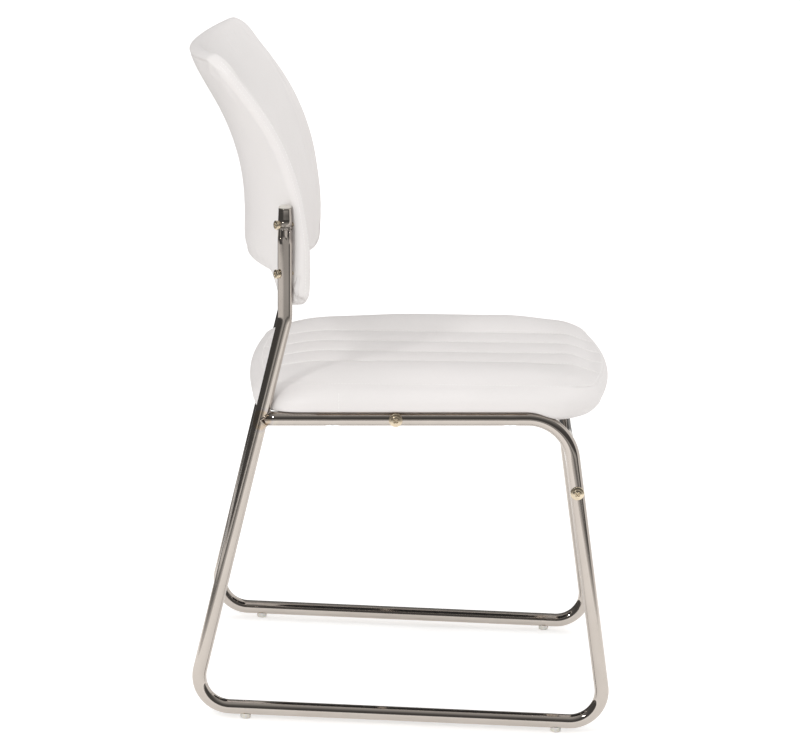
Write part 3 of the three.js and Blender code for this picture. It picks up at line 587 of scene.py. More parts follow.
# Turned parts: one at each guide point, its axis along aim and its grain along roll
def buildTurnedSet():
    tree, start, end = growthTree("turnedSet", {"Part": ("Object", None), "Finish": ("Material", None)})
    aimed = add(tree, "FunctionNodeAlignRotationToVector", axis="Z", inputs={"Vector": named(tree, "aim")})
    rolled = add(tree, "FunctionNodeAlignRotationToVector", axis="X", pivot_axis="Z")
    tree.links.new(aimed.outputs[0], rolled.inputs["Rotation"])
    tree.links.new(named(tree, "roll"), rolled.inputs["Vector"])
    part = add(tree, "GeometryNodeObjectInfo", inputs={"Object": start.outputs["Part"]})
    spots = add(tree, "GeometryNodeInstanceOnPoints", inputs={"Points": start.outputs["Geometry"]})
    tree.links.new(part.outputs["Geometry"], spots.inputs["Instance"])
    tree.links.new(rolled.outputs[0], spots.inputs["Rotation"])
    realised(tree, start, end, spots.outputs[0])
    return tree


# A weld bead: a bar along a closed line, with the ripples that the torch leaves
def buildWeldBead():
    inputs = {
        "Radius": ("Float", 0.0014),
        "Ripples": ("Int", 30),
        "Relief": ("Float", 0.06),
        "Finish": ("Material", None),
    }
    tree, start, end = growthTree("weldBead", inputs)
    line = add(tree, "GeometryNodeMeshToCurve", inputs={"Mesh": start.outputs["Geometry"]})
    fine = add(tree, "GeometryNodeResampleCurve", mode="COUNT", inputs={"Curve": line.outputs[0]})
    tree.links.new(maths(tree, "MULTIPLY", start.outputs["Ripples"], 6.0), fine.inputs["Count"])
    place = add(tree, "GeometryNodeSplineParameter").outputs["Factor"]
    turns = maths(tree, "MULTIPLY", maths(tree, "MULTIPLY", place, start.outputs["Ripples"]), 2 * math.pi)
    swell = maths(tree, "MULTIPLY", maths(tree, "SINE", turns), start.outputs["Relief"])
    radius = maths(tree, "MULTIPLY", maths(tree, "ADD", swell, 1.0), start.outputs["Radius"])
    circle = add(tree, "GeometryNodeCurvePrimitiveCircle", inputs={"Resolution": 10, "Radius": 1.0})
    bar = add(tree, "GeometryNodeCurveToMesh",
              inputs={"Curve": fine.outputs[0], "Profile Curve": circle.outputs[0], "Scale": radius})
    realised(tree, start, end, bar.outputs[0])
    return tree


stitchRow = buildStitchRow()
turnedSet = buildTurnedSet()
weldBead = buildWeldBead()


def guide(points, edges, **vectors):
    mesh = bpy.data.meshes.new("guide")
    mesh.from_pydata(toScene(points).tolist(), edges, [])
    for label, values in vectors.items():
        layer = mesh.attributes.new(label, "FLOAT_VECTOR", "POINT")
        layer.data.foreach_set("vector", np.asarray(values, np.float32).ravel())
    return link("guide", mesh)


def grown(name, base, tree, **values):
    modifier = base.modifiers.new("grow", "NODES")
    modifier.node_group = tree
    for item in tree.interface.items_tree:
        if item.in_out == "INPUT" and item.name in values:
            modifier[item.identifier] = values[item.name]
    mesh = baked(base)
    discard(base)
    mesh.shade_smooth()
    return link(name, mesh)


def setOut(name, part, places, aims, rolls, material, nodes):
    base = guide(places, [], aim=aims, roll=rolls)
    piece = grown(name, base, turnedSet, Part=part, Finish=material)
    finish(piece, material, nodes)
    return piece


# A turned part about Z from [radius, height] pairs; lift can move its points, as for a saddle
def turnedPart(name, profile, count, lift=None, loop=False):
    turn = np.arange(count) * 2 * math.pi / count
    rows = np.array([[[r * math.cos(t), r * math.sin(t), z] for t in turn] for r, z in profile])
    points, faces = skinned(rows, loop)
    return loosePart(name, lift(points) if lift else points, faces)


# Chromed frames

platings = {
    "chrome": {
        "clean": (0.535, 0.488, 0.445),
        "dull": (0.495, 0.45, 0.408),
        "rough": (0.05, 0.1),
        "bump": 0.04,
        "smear": 14.0,
        "hairline": 60.0,
    },
    "nickel": {
        "clean": (0.8, 0.7, 0.53),
        "dull": (0.64, 0.54, 0.4),
        "rough": (0.2, 0.34),
        "bump": 0.25,
        "smear": 14.0,
        "hairline": 60.0,
    },
    "zinc": {
        "clean": (0.6, 0.62, 0.63),
        "dull": (0.46, 0.47, 0.49),
        "rough": (0.32, 0.5),
        "bump": 0.3,
        "smear": 14.0,
        "hairline": 60.0,
    },
}
weldSpot = (tube["halfWidth"] + tube["radius"], weldPoint[0], weldPoint[1])
weldCentre = tuple(toScene([weldSpot])[0])
chrome = plateFinish("chromePlate", platings["chrome"], weldTint(weldCentre))
nickel = plateFinish("nickelPlate", platings["nickel"])
zinc = plateFinish("zincPlate", platings["zinc"])


# One bent bar from the open mouth of its upright, drawn in at the tip, to the end of its seat rail
def frameTube(side):
    points, along = bentLine(sideCorners, tube["bends"], tube["bendStep"])
    near = np.arange(-tube["dimpleHalf"], tube["dimpleHalf"] + 0.1, tube["dimpleStep"])
    close = [y + offset for y in tube["dimples"] for offset in near]
    points, along = refined(points, along, tube["straightStep"], close)
    tipStations = np.array([*tube["tipStations"], tube["tipLength"]])
    points = np.vstack([points[:1], points[0] - np.outer(tipStations, uprightAxis), points[1:]])
    along = np.vstack([along[:1], np.tile(along[0], (len(tipStations), 1)), along[1:]])
    radii = np.full(len(points), float(tube["radius"]))
    drawn = smoothStep(np.concatenate([[0], tipStations]) / tube["tipLength"])
    radii[:len(drawn)] = tube["tipRadius"] + (tube["radius"] - tube["tipRadius"]) * drawn
    mouth = points[0] - uprightAxis * tube["mouthDepth"]
    points = np.vstack([[mouth], points[:1], points])
    along = np.vstack([along[:2], along])
    radii = np.concatenate([[tube["mouth"]] * 2, radii])
    rows = ringRows(side * tube["halfWidth"], points, along, radii, tube["sides"])
    return pressed(rows, side)


# The flats pressed up under the seat rail, where the tube also spreads a little
def pressed(rows, side):
    local = toSeat(rows.reshape(-1, 3))
    radius, half = tube["dimpleRadius"], tube["dimpleHalf"]
    for y in tube["dimples"]:
        gap = np.abs(local[:, 1] - y)
        under = (gap < tube["dimpleReach"]) & (np.abs(local[:, 2]) < tube["dimpleBand"])
        fall = radius - np.sqrt(np.maximum(0, radius ** 2 - np.minimum(gap, radius) ** 2))
        flat = -(tube["radius"] - tube["dimpleDepth"]) - fall
        low = under & (local[:, 2] < flat)
        wider = 1 + tube["dimpleSpread"] * smoothStep(1 - gap / half)
        centre = side * tube["halfWidth"]
        local[under, 0] = centre + (local[under, 0] - centre) * wider[under]
        local[low, 2] = flat[low]
    return fromSeat(local).reshape(rows.shape)


# Where the seat rail's skin meets the rear leg, as a closed line
def weldLine(side, count=72):
    legAxis = unit(sideCorners[2] - sideCorners[1])
    across = np.array([-legAxis[1], legAxis[0]])
    across = across * np.sign(across @ railAxis)
    normal = np.array([-railAxis[1], railAxis[0]])
    radius = tube["radius"]
    line = []
    for turn in np.arange(count) * 2 * math.pi / count:
        rise = radius * math.cos(turn)
        back = (-radius * abs(math.cos(turn)) - rise * (normal @ across)) / (railAxis @ across)
        spot = weldPoint + railAxis * back + normal * rise
        line.append((side * tube["halfWidth"] + radius * math.sin(turn), spot[0], spot[1]))
    return line


# The bent bar and the bead at its weld, as one mesh
def sideFrame(side):
    bar = meshPiece("frameBar", *skinned(frameTube(side)))
    line = weldLine(side)
    ring = guide(line, [(k, (k + 1) % len(line)) for k in range(len(line))])
    bead = grown("bead", ring, weldBead, Finish=chrome)
    facesOutward(bead.data)
    work = bmesh.new()
    work.from_mesh(bar.data)
    work.from_mesh(bead.data)
    mesh = bpy.data.meshes.new("tubeFrame")
    work.to_mesh(mesh)
    work.free()
    mesh.shade_smooth()
    discard(bar)
    discard(bead)
    return mesh


for label, side in sides.items():
    finish(link("tubeFrame_" + label, sideFrame(side)), chrome, ["side_frame_" + label])
print("side frames bent")

crossTubes = {"radius": 8, "wall": 1.5, "seatY": 24.6, "frontHeight": 329.7, "sides": 36}
frontCrossY = tube["frontFoot"] + (crossTubes["frontHeight"] - floorLine) * frontTan
crossPlaces = {
    "front": (np.array([frontCrossY, crossTubes["frontHeight"]]), unit(sideCorners[4] - sideCorners[3])),
    "seat": (np.array([crossTubes["seatY"], railZ(crossTubes["seatY"])]), railAxis),
}


# A straight tube between the frames, hollowed at its ends to fit round them
def crossTube(centre, along):
    turn = np.arange(crossTubes["sides"]) * 2 * math.pi / crossTubes["sides"]
    normal = np.array([-along[1], along[0]])
    reach = tube["radius"] + fitGap
    ends = []
    for radius in (crossTubes["radius"] - crossTubes["wall"], crossTubes["radius"]):
        off = radius * np.sin(turn)
        spot = centre + np.outer(radius * np.cos(turn), along) + np.outer(off, normal)
        ends.append((tube["halfWidth"] - np.sqrt(reach ** 2 - off ** 2), spot))
    (inX, inner), (outX, outer) = ends
    outline = [(-inX, inner), (-outX, outer), (-outX / 3, outer)]
    outline += [(-x, ring) for x, ring in reversed(outline)]
    return skinned(np.array([np.column_stack(ring) for ring in outline]), loop=True)


points, faces = joined([crossTube(*place) for place in crossPlaces.values()])
finish(meshPiece("crossTubes", points, faces), chrome, ["front_cross_tube", "seat_cross_tube"])

# Small turned parts

capPlastic = mouldedFinish("capPlastic", (0.66, 0.625, 0.58), (0.58, 0.545, 0.5), 0.3)
nylon = mouldedFinish("glideNylon", (0.8, 0.775, 0.72), (0.74, 0.71, 0.65), 0.42, 0.35)

cap = {
    "radius": 8.3,
    "dome": 4.4,
    "edge": (0.3, 0.6, 0.9),
    "plug": 6.3,
    "depth": 14,
    "lead": (1.3, 1.4),
    "domeSteps": 8,
    "sides": 40,
}


# A domed head over a plug with a tapered lead
def capProfile():
    radius, plug, depth, top = cap["radius"], cap["plug"], cap["depth"], cap["dome"]
    edge, middle, domeFrom = cap["edge"]
    leadIn, leadUp = cap["lead"]
    turns = np.linspace(0, math.pi / 2, cap["domeSteps"] + 1)[:-1]
    dome = [(radius * math.cos(t), domeFrom + (top - domeFrom) * math.sin(t)) for t in turns]
    return [(hair, -depth), (plug - leadIn, -depth), (plug, -depth + leadUp), (plug, edge),
            (radius - edge, edge), (radius, middle), *dome, (hair, top)]


capPart = turnedPart("capPart", capProfile(), cap["sides"])
tipPlaces = [(side * tube["halfWidth"], *uprightTip) for side in sides.values()]
setOut("tubeCaps", capPart, tipPlaces, [(0, *uprightAxis)] * 2, [(1, 0, 0)] * 2, capPlastic,
       ["tube_cap_" + label for label in sides])

# Profiles are [radius, height], the shoulder's heights measured down from the top
glide = {
    "lap": 2.5,
    "foot": ((3.6, 0.5), (4.4, 0.05), (5.2, 0), (6.1, 0.25), (6.75, 0.9), (7, 1.8)),
    "shoulder": ((7, 0.8), (6.9, 0.2)),
    "bed": (6.6, 5.4, 4.2, 3, 1.6, hair),
    "sides": 36,
}
glideTop = tube["glideHeight"] + glide["lap"]


# The glide's upper face is hollowed to the floor rail, which runs along its grain
def saddled(points):
    reach = tube["radius"] + fitGap
    bed = floorLine - np.sqrt(np.maximum(0, reach ** 2 - points[:, 1] ** 2))
    high = points[:, 2] > glideTop - hair
    points[high, 2] = np.minimum(points[high, 2], bed[high])
    return points


rings = [(hair, glide["foot"][0][1]), *glide["foot"]]
rings += [(radius, glideTop - drop) for radius, drop in glide["shoulder"]]
rings += [(radius, glideTop) for radius in glide["bed"]]
glidePart = turnedPart("glidePart", rings, glide["sides"], saddled)
glidePlaces = [(side * tube["halfWidth"], y, 0) for side in sides.values() for y in (-glidePlace, glidePlace)]
glideNodes = [f"glide_{end}_{label}" for label in sides for end in ("front", "rear")]
setOut("glides", glidePart, glidePlaces, [(0, 0, 1)] * 4, [(0, 1, 0)] * 4, nylon, glideNodes)

screw = {
    "shank": 3,
    "tip": 0.6,
    "head": 6.2,
    "height": 3.4,
    "headEdge": 0.25,
    "wallShares": (0.08, 0.32),
    "domeFromShare": 0.42,
    "domePower": 2.4,
    "domeShares": ((0.985, 0.62, 8), (0.58, 0.02, 22)),
    "recess": 3.5,
    "recessEnd": 0.9,
    "armWidth": 0.95,
    "armEdge": 0.35,
    "pit": 1.5,
    "pitEdge": 0.6,
    "pitShare": 0.25,
    "depth": 2.1,
    "sides": 72,
    "crossLength": 40,
    "shortLength": 28,
    "backHeight": 3.0,
    "backHead": 6.0,
    "seatHeight": 1.3,
    "seatHead": 5.6,
    "seatGap": 0.05,
}


# A pan head with a cross recess; the head's seat is at height 0
def screwPart(name, length, height=screw["height"], head=screw["head"]):
    shank, tip = screw["shank"], screw["tip"]
    rings = [(hair, -length), (shank - tip, -length), (shank, -length + tip), (shank, 0),
             (head - screw["headEdge"], 0), *((head, share * height) for share in screw["wallShares"])]
    wallRings = len(rings)
    edge = screw["domeFromShare"] * height
    for share in np.concatenate([np.linspace(*steps) for steps in screw["domeShares"]]):
        rings.append((head * share, edge + (height - edge) * math.sqrt(1 - share ** screw["domePower"])))

    def recessed(points):
        onDome = np.arange(len(points)) >= wallRings * screw["sides"]
        x, y = np.abs(points[:, 0]), np.abs(points[:, 1])
        arm = np.zeros(len(points))
        for across, along in ((x, y), (y, x)):
            wall = smoothStep((screw["armWidth"] - across) / screw["armEdge"] + 0.5)
            arm = np.maximum(arm, wall * smoothStep((screw["recess"] - along) / screw["recessEnd"]))
        pit = smoothStep((screw["pit"] - np.hypot(x, y)) / screw["pitEdge"])
        depth = screw["depth"] / screw["height"] * height * (1 - screw["pitShare"] * (1 - pit))
        points[onDome, 2] -= (depth * np.maximum(arm, pit))[onDome]
        return points

    return turnedPart(name, rings, screw["sides"], recessed)


washer = {
    "hole": 3.35,
    "height": 2.6,
    "base": 5,
    "edge": 0.3,
    "shoulder": ((0, 1.5), (0.15, 0.9), (0.5, 0.45), (0.9, 0.2)),
    "bedBand": 0.6,
    "sides": 44,
    "crossRadius": 9,
    "backRadius": 5.4,
}


# A cup washer measured from the middle of the tube that it sits on, which runs along its grain
def washerPart(name, radius):
    hole, base, edge = washer["hole"], washer["base"], washer["edge"]
    top = tube["radius"] + washer["height"] - fitGap
    rings = [(hole, base), (radius - edge, base), (radius, base + edge)]
    rings += [(radius - inward, top - drop) for inward, drop in washer["shoulder"]]
    rings += [(hole + edge, top), (hole, top)]

    def saddle(points):
        bed = np.sqrt(np.maximum(0, (tube["radius"] + fitGap) ** 2 - points[:, 1] ** 2))
        low = points[:, 2] < base + washer["bedBand"]
        points[low, 2] = bed[low] + (points[low, 2] - base)
        points[:, 2] = np.maximum(points[:, 2], bed)
        return points

    return turnedPart(name, rings, washer["sides"], saddle, loop=True)


random.seed(11)


def rollAngles(axis, tubeLine):
    other = np.cross(axis, tubeLine)
    turn = random.uniform(0, math.pi / 2)
    return tuple(np.array(tubeLine) * math.cos(turn) + other * math.sin(turn))


headSeat = tube["radius"] + washer["height"]


# Bolts through the middles of tubes, each with a washer under its head
def boltSet(label, bolt, cup, spots, aims, lines, nodes):
    heads = [np.array(spot) + aim * headSeat for spot, aim in zip(spots, aims)]
    rolls = [rollAngles(aim, line) for aim, line in zip(aims, lines)]
    boltNodes, washerNodes = ([node.format(kind) for node in nodes] for kind in ("bolt", "washer"))
    setOut(label + "Screws", bolt, heads, aims, rolls, nickel, boltNodes)
    setOut(label + "Washers", cup, spots, aims, lines, nickel, washerNodes)


crossScrew = screwPart("crossScrew", screw["crossLength"])
crossWasher = washerPart("crossWasher", washer["crossRadius"])
crossPairs = [(side, centre, along) for side in sides.values() for centre, along in crossPlaces.values()]
boltSet("cross", crossScrew, crossWasher,
        [(side * tube["halfWidth"], *centre) for side, centre, _ in crossPairs],
        [np.array([side, 0, 0]) for side, _, _ in crossPairs],
        [(0, *along) for _, _, along in crossPairs],
        [f"{place}_cross_{{}}_{label}" for label in sides for place in crossPlaces])

# The shell of the back and the bolts that hold it share an axis through each upright
back = {
    "boltX": 231,
    "edgeDistance": 10.7,
    "height": 279.5,
    "climb": 9,
    "bottom": 593,
    "ear": 554,
    "earInner": 166.5,
    "earOuter": 202.5,
    "topCorner": 27,
    "earCorner": 22,
    "wrap": 428,
    "wrapTop": 560,
    "bendStart": 625,
    "bend": 300,
    "lean": 40,
    "rearEdge": 11,
    "rearMiddle": 21,
    "upperBolt": 666.5,
    "lowerBolt": 602.5,
}
back["top"] = back["bottom"] + back["height"]
boltReach = back["rearEdge"] + fitGap + tube["radius"]
back["halfWidth"] = back["boltX"] * back["wrap"] / (back["wrap"] + boltReach) + back["edgeDistance"]
boltSpread = math.sqrt((back["wrap"] + boltReach) ** 2 - back["boltX"] ** 2)
bendLag = back["bend"] - math.sqrt(back["bend"] ** 2 - (back["upperBolt"] - back["bendStart"]) ** 2)
wrapCentre = uprightY(back["upperBolt"]) - bendLag - boltSpread

backScrew = screwPart("backScrew", screw["shortLength"], screw["backHeight"], screw["backHead"])
backWasher = washerPart("backWasher", washer["backRadius"])
boltHeights = {"upper": back["upperBolt"], "lower": back["lowerBolt"]}
backPairs = [(side, height) for side in sides.values() for height in boltHeights.values()]
boltSet("back", backScrew, backWasher,
        [np.array([side * back["boltX"], uprightY(height), height]) for side, height in backPairs],
        [unit(np.array([side * back["boltX"], boltSpread, 0])) for side, _ in backPairs],
        [(0, *uprightAxis)] * 4,
        [f"back_{{}}_{level}_{label}" for label in sides for level in boltHeights])

seatRailDrop = -(tube["radius"] - tube["dimpleDepth"]) - screw["seatGap"]
seatScrew = screwPart("seatScrew", screw["shortLength"], screw["seatHeight"], screw["seatHead"])
local = [(side * tube["halfWidth"], y, seatRailDrop) for side in sides.values() for y in tube["dimples"]]
down = fromSeat([(0, 0, -1)])[0] - fromSeat([(0, 0, 0)])[0]
seatNodes = [f"seat_bolt_{end}_{label}" for label in sides for end in ("rear", "front")]
seatRolls = [rollAngles(down, (1, 0, 0)) for _ in local]
setOut("seatScrews", seatScrew, fromSeat(local), [down] * 4, seatRolls, zinc, seatNodes)
for part in (capPart, glidePart, crossScrew, crossWasher, backScrew, backWasher, seatScrew):
    discard(part)
print("tubes, screws and glides set")

# Padded forms: layers from one face to the other over an outline with rounded corners. Columns
# keep their own x up to straightTo, so sewn lines stay straight, and rows are even round the rim.
def spread(shape, columns, rows, straightTo):
    half, low, high, cornerLow, cornerHigh = shape
    bevel = 1 - math.sqrt(0.5)
    xLow, xHigh = half - cornerLow * bevel, half - cornerHigh * bevel
    arcLow, arcHigh = cornerLow * math.pi / 4, cornerHigh * math.pi / 4
    sideStart, sideEnd = float(low(half)), float(high(half))
    run = rows * (arcLow + sideEnd - sideStart + arcHigh)
    turnLow = math.pi / 4 + np.minimum(run, arcLow) / cornerLow
    past = np.maximum(0, run - arcLow - (sideEnd - sideStart))
    turnHigh = math.pi / 2 - past / cornerHigh
    lowArc, highArc = run < arcLow, past > 0
    sideX = np.full(len(rows), float(half))
    sideX[lowArc] = (half - cornerLow * (1 - np.sin(turnLow)))[lowArc]
    sideX[highArc] = (half - cornerHigh * (1 - np.sin(turnHigh)))[highArc]
    sideY = sideStart + run - arcLow
    sideY[lowArc] = low(sideX[lowArc])
    sideY[highArc] = high(sideX[highArc])
    reach = np.abs(columns).max()
    share = np.clip((np.abs(columns) - straightTo) / (reach - straightTo), 0, 1) ** 2
    sign = np.sign(columns)
    atLow = sign * (np.abs(columns) + (xLow - reach) * share)
    atHigh = sign * (np.abs(columns) + (xHigh - reach) * share)
    v = (sideY - sideY[0]) / (sideY[-1] - sideY[0])
    bulge = sideX - ((1 - v) * xLow + v * xHigh)
    x = np.outer(atLow, 1 - v) + np.outer(atHigh, v) + np.outer(sign * share, bulge)
    y = np.outer(low(atLow), 1 - v) + np.outer(high(atHigh), v)
    return x, y


# Column and row numbers round the rim of a grid
def rimOf(c, r):
    rim = [(i, 0) for i in range(c - 1)] + [(c - 1, j) for j in range(r - 1)]
    rim += [(i, r - 1) for i in range(c - 1, 0, -1)] + [(0, j) for j in range(r - 1, 0, -1)]
    return np.array(rim).T


# The first and last layers are whole faces and those between are rims of the same count
def layered(outline, place, columns, rows, layers, straightTo):
    c, r = len(columns), len(rows)
    rimI, rimJ = rimOf(c, r)
    points, faces, loops = [], [], []
    base = 0
    for layer in layers:
        inset = layer["inset"]
        extra = {label: layer[label] for label in ("rise", "tuck") if label in layer}
        x, y = spread(outline(inset, layer.get("endInset", inset), **extra), columns, rows, straightTo)
        whole = layer is layers[0] or layer is layers[-1]
        if not whole:
            x, y = x[rimI, rimJ], y[rimI, rimJ]
        x, y = x.ravel(), y.ravel()
        depth = layer["depth"](x, y) if callable(layer["depth"]) else np.full(len(x), float(layer["depth"]))
        points.append(place(x, y, depth))
        if whole:
            grid = base + np.arange(c * r).reshape(c, r)
            faces += [(int(grid[i, j]), int(grid[i + 1, j]), int(grid[i + 1, j + 1]), int(grid[i, j + 1]))
                      for i in range(c - 1) for j in range(r - 1)]
            loops.append(grid[rimI, rimJ])
        else:
            loops.append(base + np.arange(len(rimI)))
        base += len(x)
    for below, above in zip(loops, loops[1:]):
        for k in range(len(rimI)):
            n = (k + 1) % len(rimI)
            faces.append((int(below[k]), int(below[n]), int(above[n]), int(above[k])))
    return {"points": np.vstack(points), "faces": faces, "grid": grid, "loops": loops}


def closed(loop):
    return np.append(loop, loop[0])


# Weights that hold the first face and the first few loops still
def heldLoops(form, count):
    held = np.zeros(len(form["points"]))
    held[:form["grid"].size] = 1
    for loop in form["loops"][:count]:
        held[loop] = 1
    return held


def cornerFall(x, half, radius):
    past = np.clip(np.abs(x) - (half - radius), 0, radius)
    return radius - np.sqrt(radius ** 2 - past ** 2)


def creaseEdges(mesh, loops, amount):
    wanted = {tuple(sorted((int(a), int(b)))) for loop in loops for a, b in zip(loop, loop[1:])}
    layer = mesh.attributes.new("crease_edge", "FLOAT", "EDGE")
    values = [amount if tuple(sorted(edge.vertices)) in wanted else 0.0 for edge in mesh.edges]
    layer.data.foreach_set("value", values)


cloth = {"quality": 6, "mass": 0.3, "frames": 20}


# Cloth under pressure, held where it is sewn or stapled. Only the move that it makes is kept,
# and no point goes further than the cap.
def puffed(name, points, faces, held, settings):
    piece = meshPiece(name, points, faces, tidyUp=False)
    facesOutward(piece.data, merge=False)
    group = piece.vertex_groups.new(name="held")
    held = np.round(held, 2)
    for weight in sorted(set(held[held > 0])):
        group.add([int(k) for k in np.flatnonzero(held == weight)], float(weight), "REPLACE")
    swell = piece.modifiers.new("swell", "CLOTH")
    swell.settings.quality = cloth["quality"]
    swell.settings.mass = cloth["mass"]
    swell.settings.vertex_group_mass = "held"
    swell.settings.use_pressure = True
    swell.settings.uniform_pressure_force = settings["pressure"]
    swell.settings.tension_stiffness = settings["stretch"]
    swell.settings.compression_stiffness = settings["stretch"]
    swell.settings.bending_stiffness = settings["bend"]
    swell.settings.effector_weights.gravity = 0
    swell.collision_settings.use_collision = False
    for number in range(1, cloth["frames"] + 1):
        scene.frame_set(number)
    graph = bpy.context.evaluated_depsgraph_get()
    swollen = coordinates(piece.evaluated_get(graph).data)
    discard(piece)
    scene.frame_set(1)
    move = swollen - points
    length = np.linalg.norm(move, axis=1, keepdims=True)
    print(name, "by up to", round(float(length.max()), 2), "mm")
    return points + move * np.minimum(1, settings["cap"] / np.maximum(length, 1e-9))


# For each point: its share along a straight step, the foot of it there and the distance
def alongStep(points, start, stop):
    step = stop - start
    share = np.clip(((points - start) @ step) / (step @ step), 0, 1)
    foot = start + np.outer(share, step)
    return share, foot, np.linalg.norm(points - foot, axis=1)


# Pushes points out of a round bar that follows a line
def keptClear(points, line, radius):
    points = points.copy()
    for start, stop in zip(line, line[1:]):
        _, foot, gap = alongStep(points, start, stop)
        inside = (gap < radius) & (gap > 1e-6)
        away = points[inside] - foot[inside]
        points[inside] = foot[inside] + away * (radius / gap[inside])[:, None]
    return points


linePoints, _ = bentLine(sideCorners, tube["bends"], tube["bendStep"] * 2)
barLines = [np.column_stack([np.full(len(linePoints), side * tube["halfWidth"]), linePoints])
            for side in sides.values()]


# Creases the sewn loops, rounds the form, adds its relief and keeps it off the tubes
def dressed(name, points, faces, creased, amount, relief, bars, clearance):
    piece = meshPiece(name, points, faces, tidyUp=False)
    creaseEdges(piece.data, creased, amount)
    piece = subdivided(piece, 1)
    facesOutward(piece.data)
    shaped = relief(coordinates(piece.data), vertexNormals(piece.data))
    for line in bars:
        shaped = keptClear(shaped, line, tube["radius"] + clearance)
    setCoordinates(piece.data, shaped)
    piece.data.shade_smooth()
    return piece


# A sewn line laid on the finished surface, as guide points with the cloth's own direction
def onSurface(tree, path, lift):
    spots, outward = [], []
    for point in toScene(path):
        place, normal, _, _ = tree.find_nearest(Vector(point))
        spots.append(np.array(place) / mm - (0, shiftY, 0) + np.array(normal) * lift)
        outward.append(tuple(normal))
    return spots, outward


def surfaceTree(piece):
    mesh = piece.data
    corners = [tuple(v.co) for v in mesh.vertices]
    return BVHTree.FromPolygons(corners, [tuple(p.vertices) for p in mesh.polygons])


lockstitch = {"steps": 8, "sides": 7, "lift": 0.15, "dip": 0.6, "dipPower": 4, "endPower": 6,
              "thinnest": 0.02, "flatness": 0.8}


# A lockstitch loop: a short thread that dips into the cloth at both ends
def threadPart(length, thickness):
    steps, around = lockstitch["steps"], lockstitch["sides"]
    turn = np.arange(around) * 2 * math.pi / around
    rows = []
    for t in np.arange(steps + 1) / steps * 2 - 1:
        thick = thickness / 2 * math.sqrt(max(lockstitch["thinnest"], 1 - t ** lockstitch["endPower"]))
        rise = lockstitch["lift"] - lockstitch["dip"] * t ** lockstitch["dipPower"]
        x, z = t * length / 2, thickness * rise
        high = thick * lockstitch["flatness"]
        rows.append([(x, thick * math.sin(a), z + high * math.cos(a)) for a in turn])
    return loosePart("thread", *skinned(np.array(rows)))


def sewn(name, tree, paths, settings, material):
    spots, outward, edges = [], [], []
    for path, isRing in paths:
        places, normals = onSurface(tree, path, settings["lift"])
        first = len(spots)
        spots += places
        outward += normals
        edges += [(first + k, first + k + 1) for k in range(len(places) - 1)]
        if isRing:
            edges.append((len(spots) - 1, first))
    base = guide(spots, edges, outward=outward)
    stitch = threadPart(settings["length"], settings["thickness"])
    piece = grown(name, base, stitchRow, Spacing=settings["spacing"] * mm, Stitch=stitch, Finish=material,
                  Seed=settings["seed"])
    discard(stitch)
    finish(piece, material)


vinylLook = {
    "light": (0.84, 0.808, 0.795),
    "deep": (0.81, 0.78, 0.765),
    "rough": (0.42, 0.58),
    "pebble": 850.0,
    "ripple": 26.0,
    # How strongly and how far the pores are darkened: painted shade in the grain, not a tone of the vinyl
    "paintedPoreShare": 0.12,
    "paintedPoreShade": 0.86,
    "bump": 0.35,
    "bumpDepth": 0.0004,
}
vinyl = vinylFinish("whiteVinyl", vinylLook)
thread = mouldedFinish("whiteThread", (0.93, 0.915, 0.9), (0.89, 0.87, 0.85), 0.6)

# Seat: five panels sewn in channels, a boxing round the sides and a hem under the board

seat = {
    "half": 244,
    "front": -263,
    "rear": 225,
    "frontCorner": 80,
    "frontCornerTop": 76,
    "rearCorner": 62,
    "rearCornerTop": 98,
    "frontBow": 16,
    "rearBow": 10,
    "frontDrawShare": 0.38,
    "rearDrawShare": 0.35,
    "tuck": 2.6,
    "frontTuck": 9,
    "frontTuckShare": 0.45,
    "edgeRear": 34,
    "edgeFront": 28,
    "edgeRunShare": 6,
    "seamInset": 24,
    "seamEndInset": 9.5,
    "valley": 36,
    "valleyRise": 7.4,
    "outerCrown": 9.5,
    "outerPower": 0.72,
    "channelCrown": 3.1,
    "channelPower": 0.6,
    "pitch": 65.4,
    "fadeFront": 60,
    "fadeFrontOuter": 112,
    "fadeRear": 110,
    "fadeRearOuter": 200,
    "noseDrop": 16,
    "noseLength": 58,
    "tailDrop": 12,
    "tailLength": 105,
    "lip": 12,
    "lipLength": 113,
    "lipRamp": 40,
    "boardBase": 9.8,
    "board": 12,
    "boardInset": 5.4,
    "hem": 31,
    "joinY": 98.5,
    "grid": 7.5,
    "seamSteps": (1.2, 4.2),
    "rowShares": (0.004, 0.012),
    "evenRows": 50,
    "evenFromShare": 0.026,
    "straight": 6,
    "crease": 0.85,
    "clearance": 0.15,
    "cloth": {"pressure": 4.0, "stretch": 15.0, "bend": 0.6, "cap": 2.6},
}
seatTopInsets = seat["seamInset"], seat["seamEndInset"]
seamHalf = seat["half"] - seat["seamInset"]
outerSeam = seat["pitch"] * 1.5
channelSeams = [seat["pitch"] * k for k in (-1.5, -0.5, 0.5, 1.5)]


def seatShape(inset, endInset, rise=0, tuck=0):
    half = seat["half"] - inset
    frontCorner = seat["frontCorner"] + (seat["frontCornerTop"] - seat["frontCorner"]) * rise - inset / 2
    rearCorner = seat["rearCorner"] + (seat["rearCornerTop"] - seat["rearCorner"]) * rise - inset / 2
    front = seat["front"] + endInset * (1 - seat["frontDrawShare"] * rise) + tuck
    rear = seat["rear"] - endInset * (1 + seat["rearDrawShare"] * rise)

    def low(x):
        bow = np.minimum(1, np.abs(x) / (half - frontCorner)) ** 2
        return front + seat["frontBow"] * bow + cornerFall(x, half, frontCorner)

    def high(x):
        bow = np.minimum(1, np.abs(x) / (half - rearCorner)) ** 2
        return rear - seat["rearBow"] * bow - cornerFall(x, half, rearCorner)

    return half, low, high, frontCorner, rearCorner


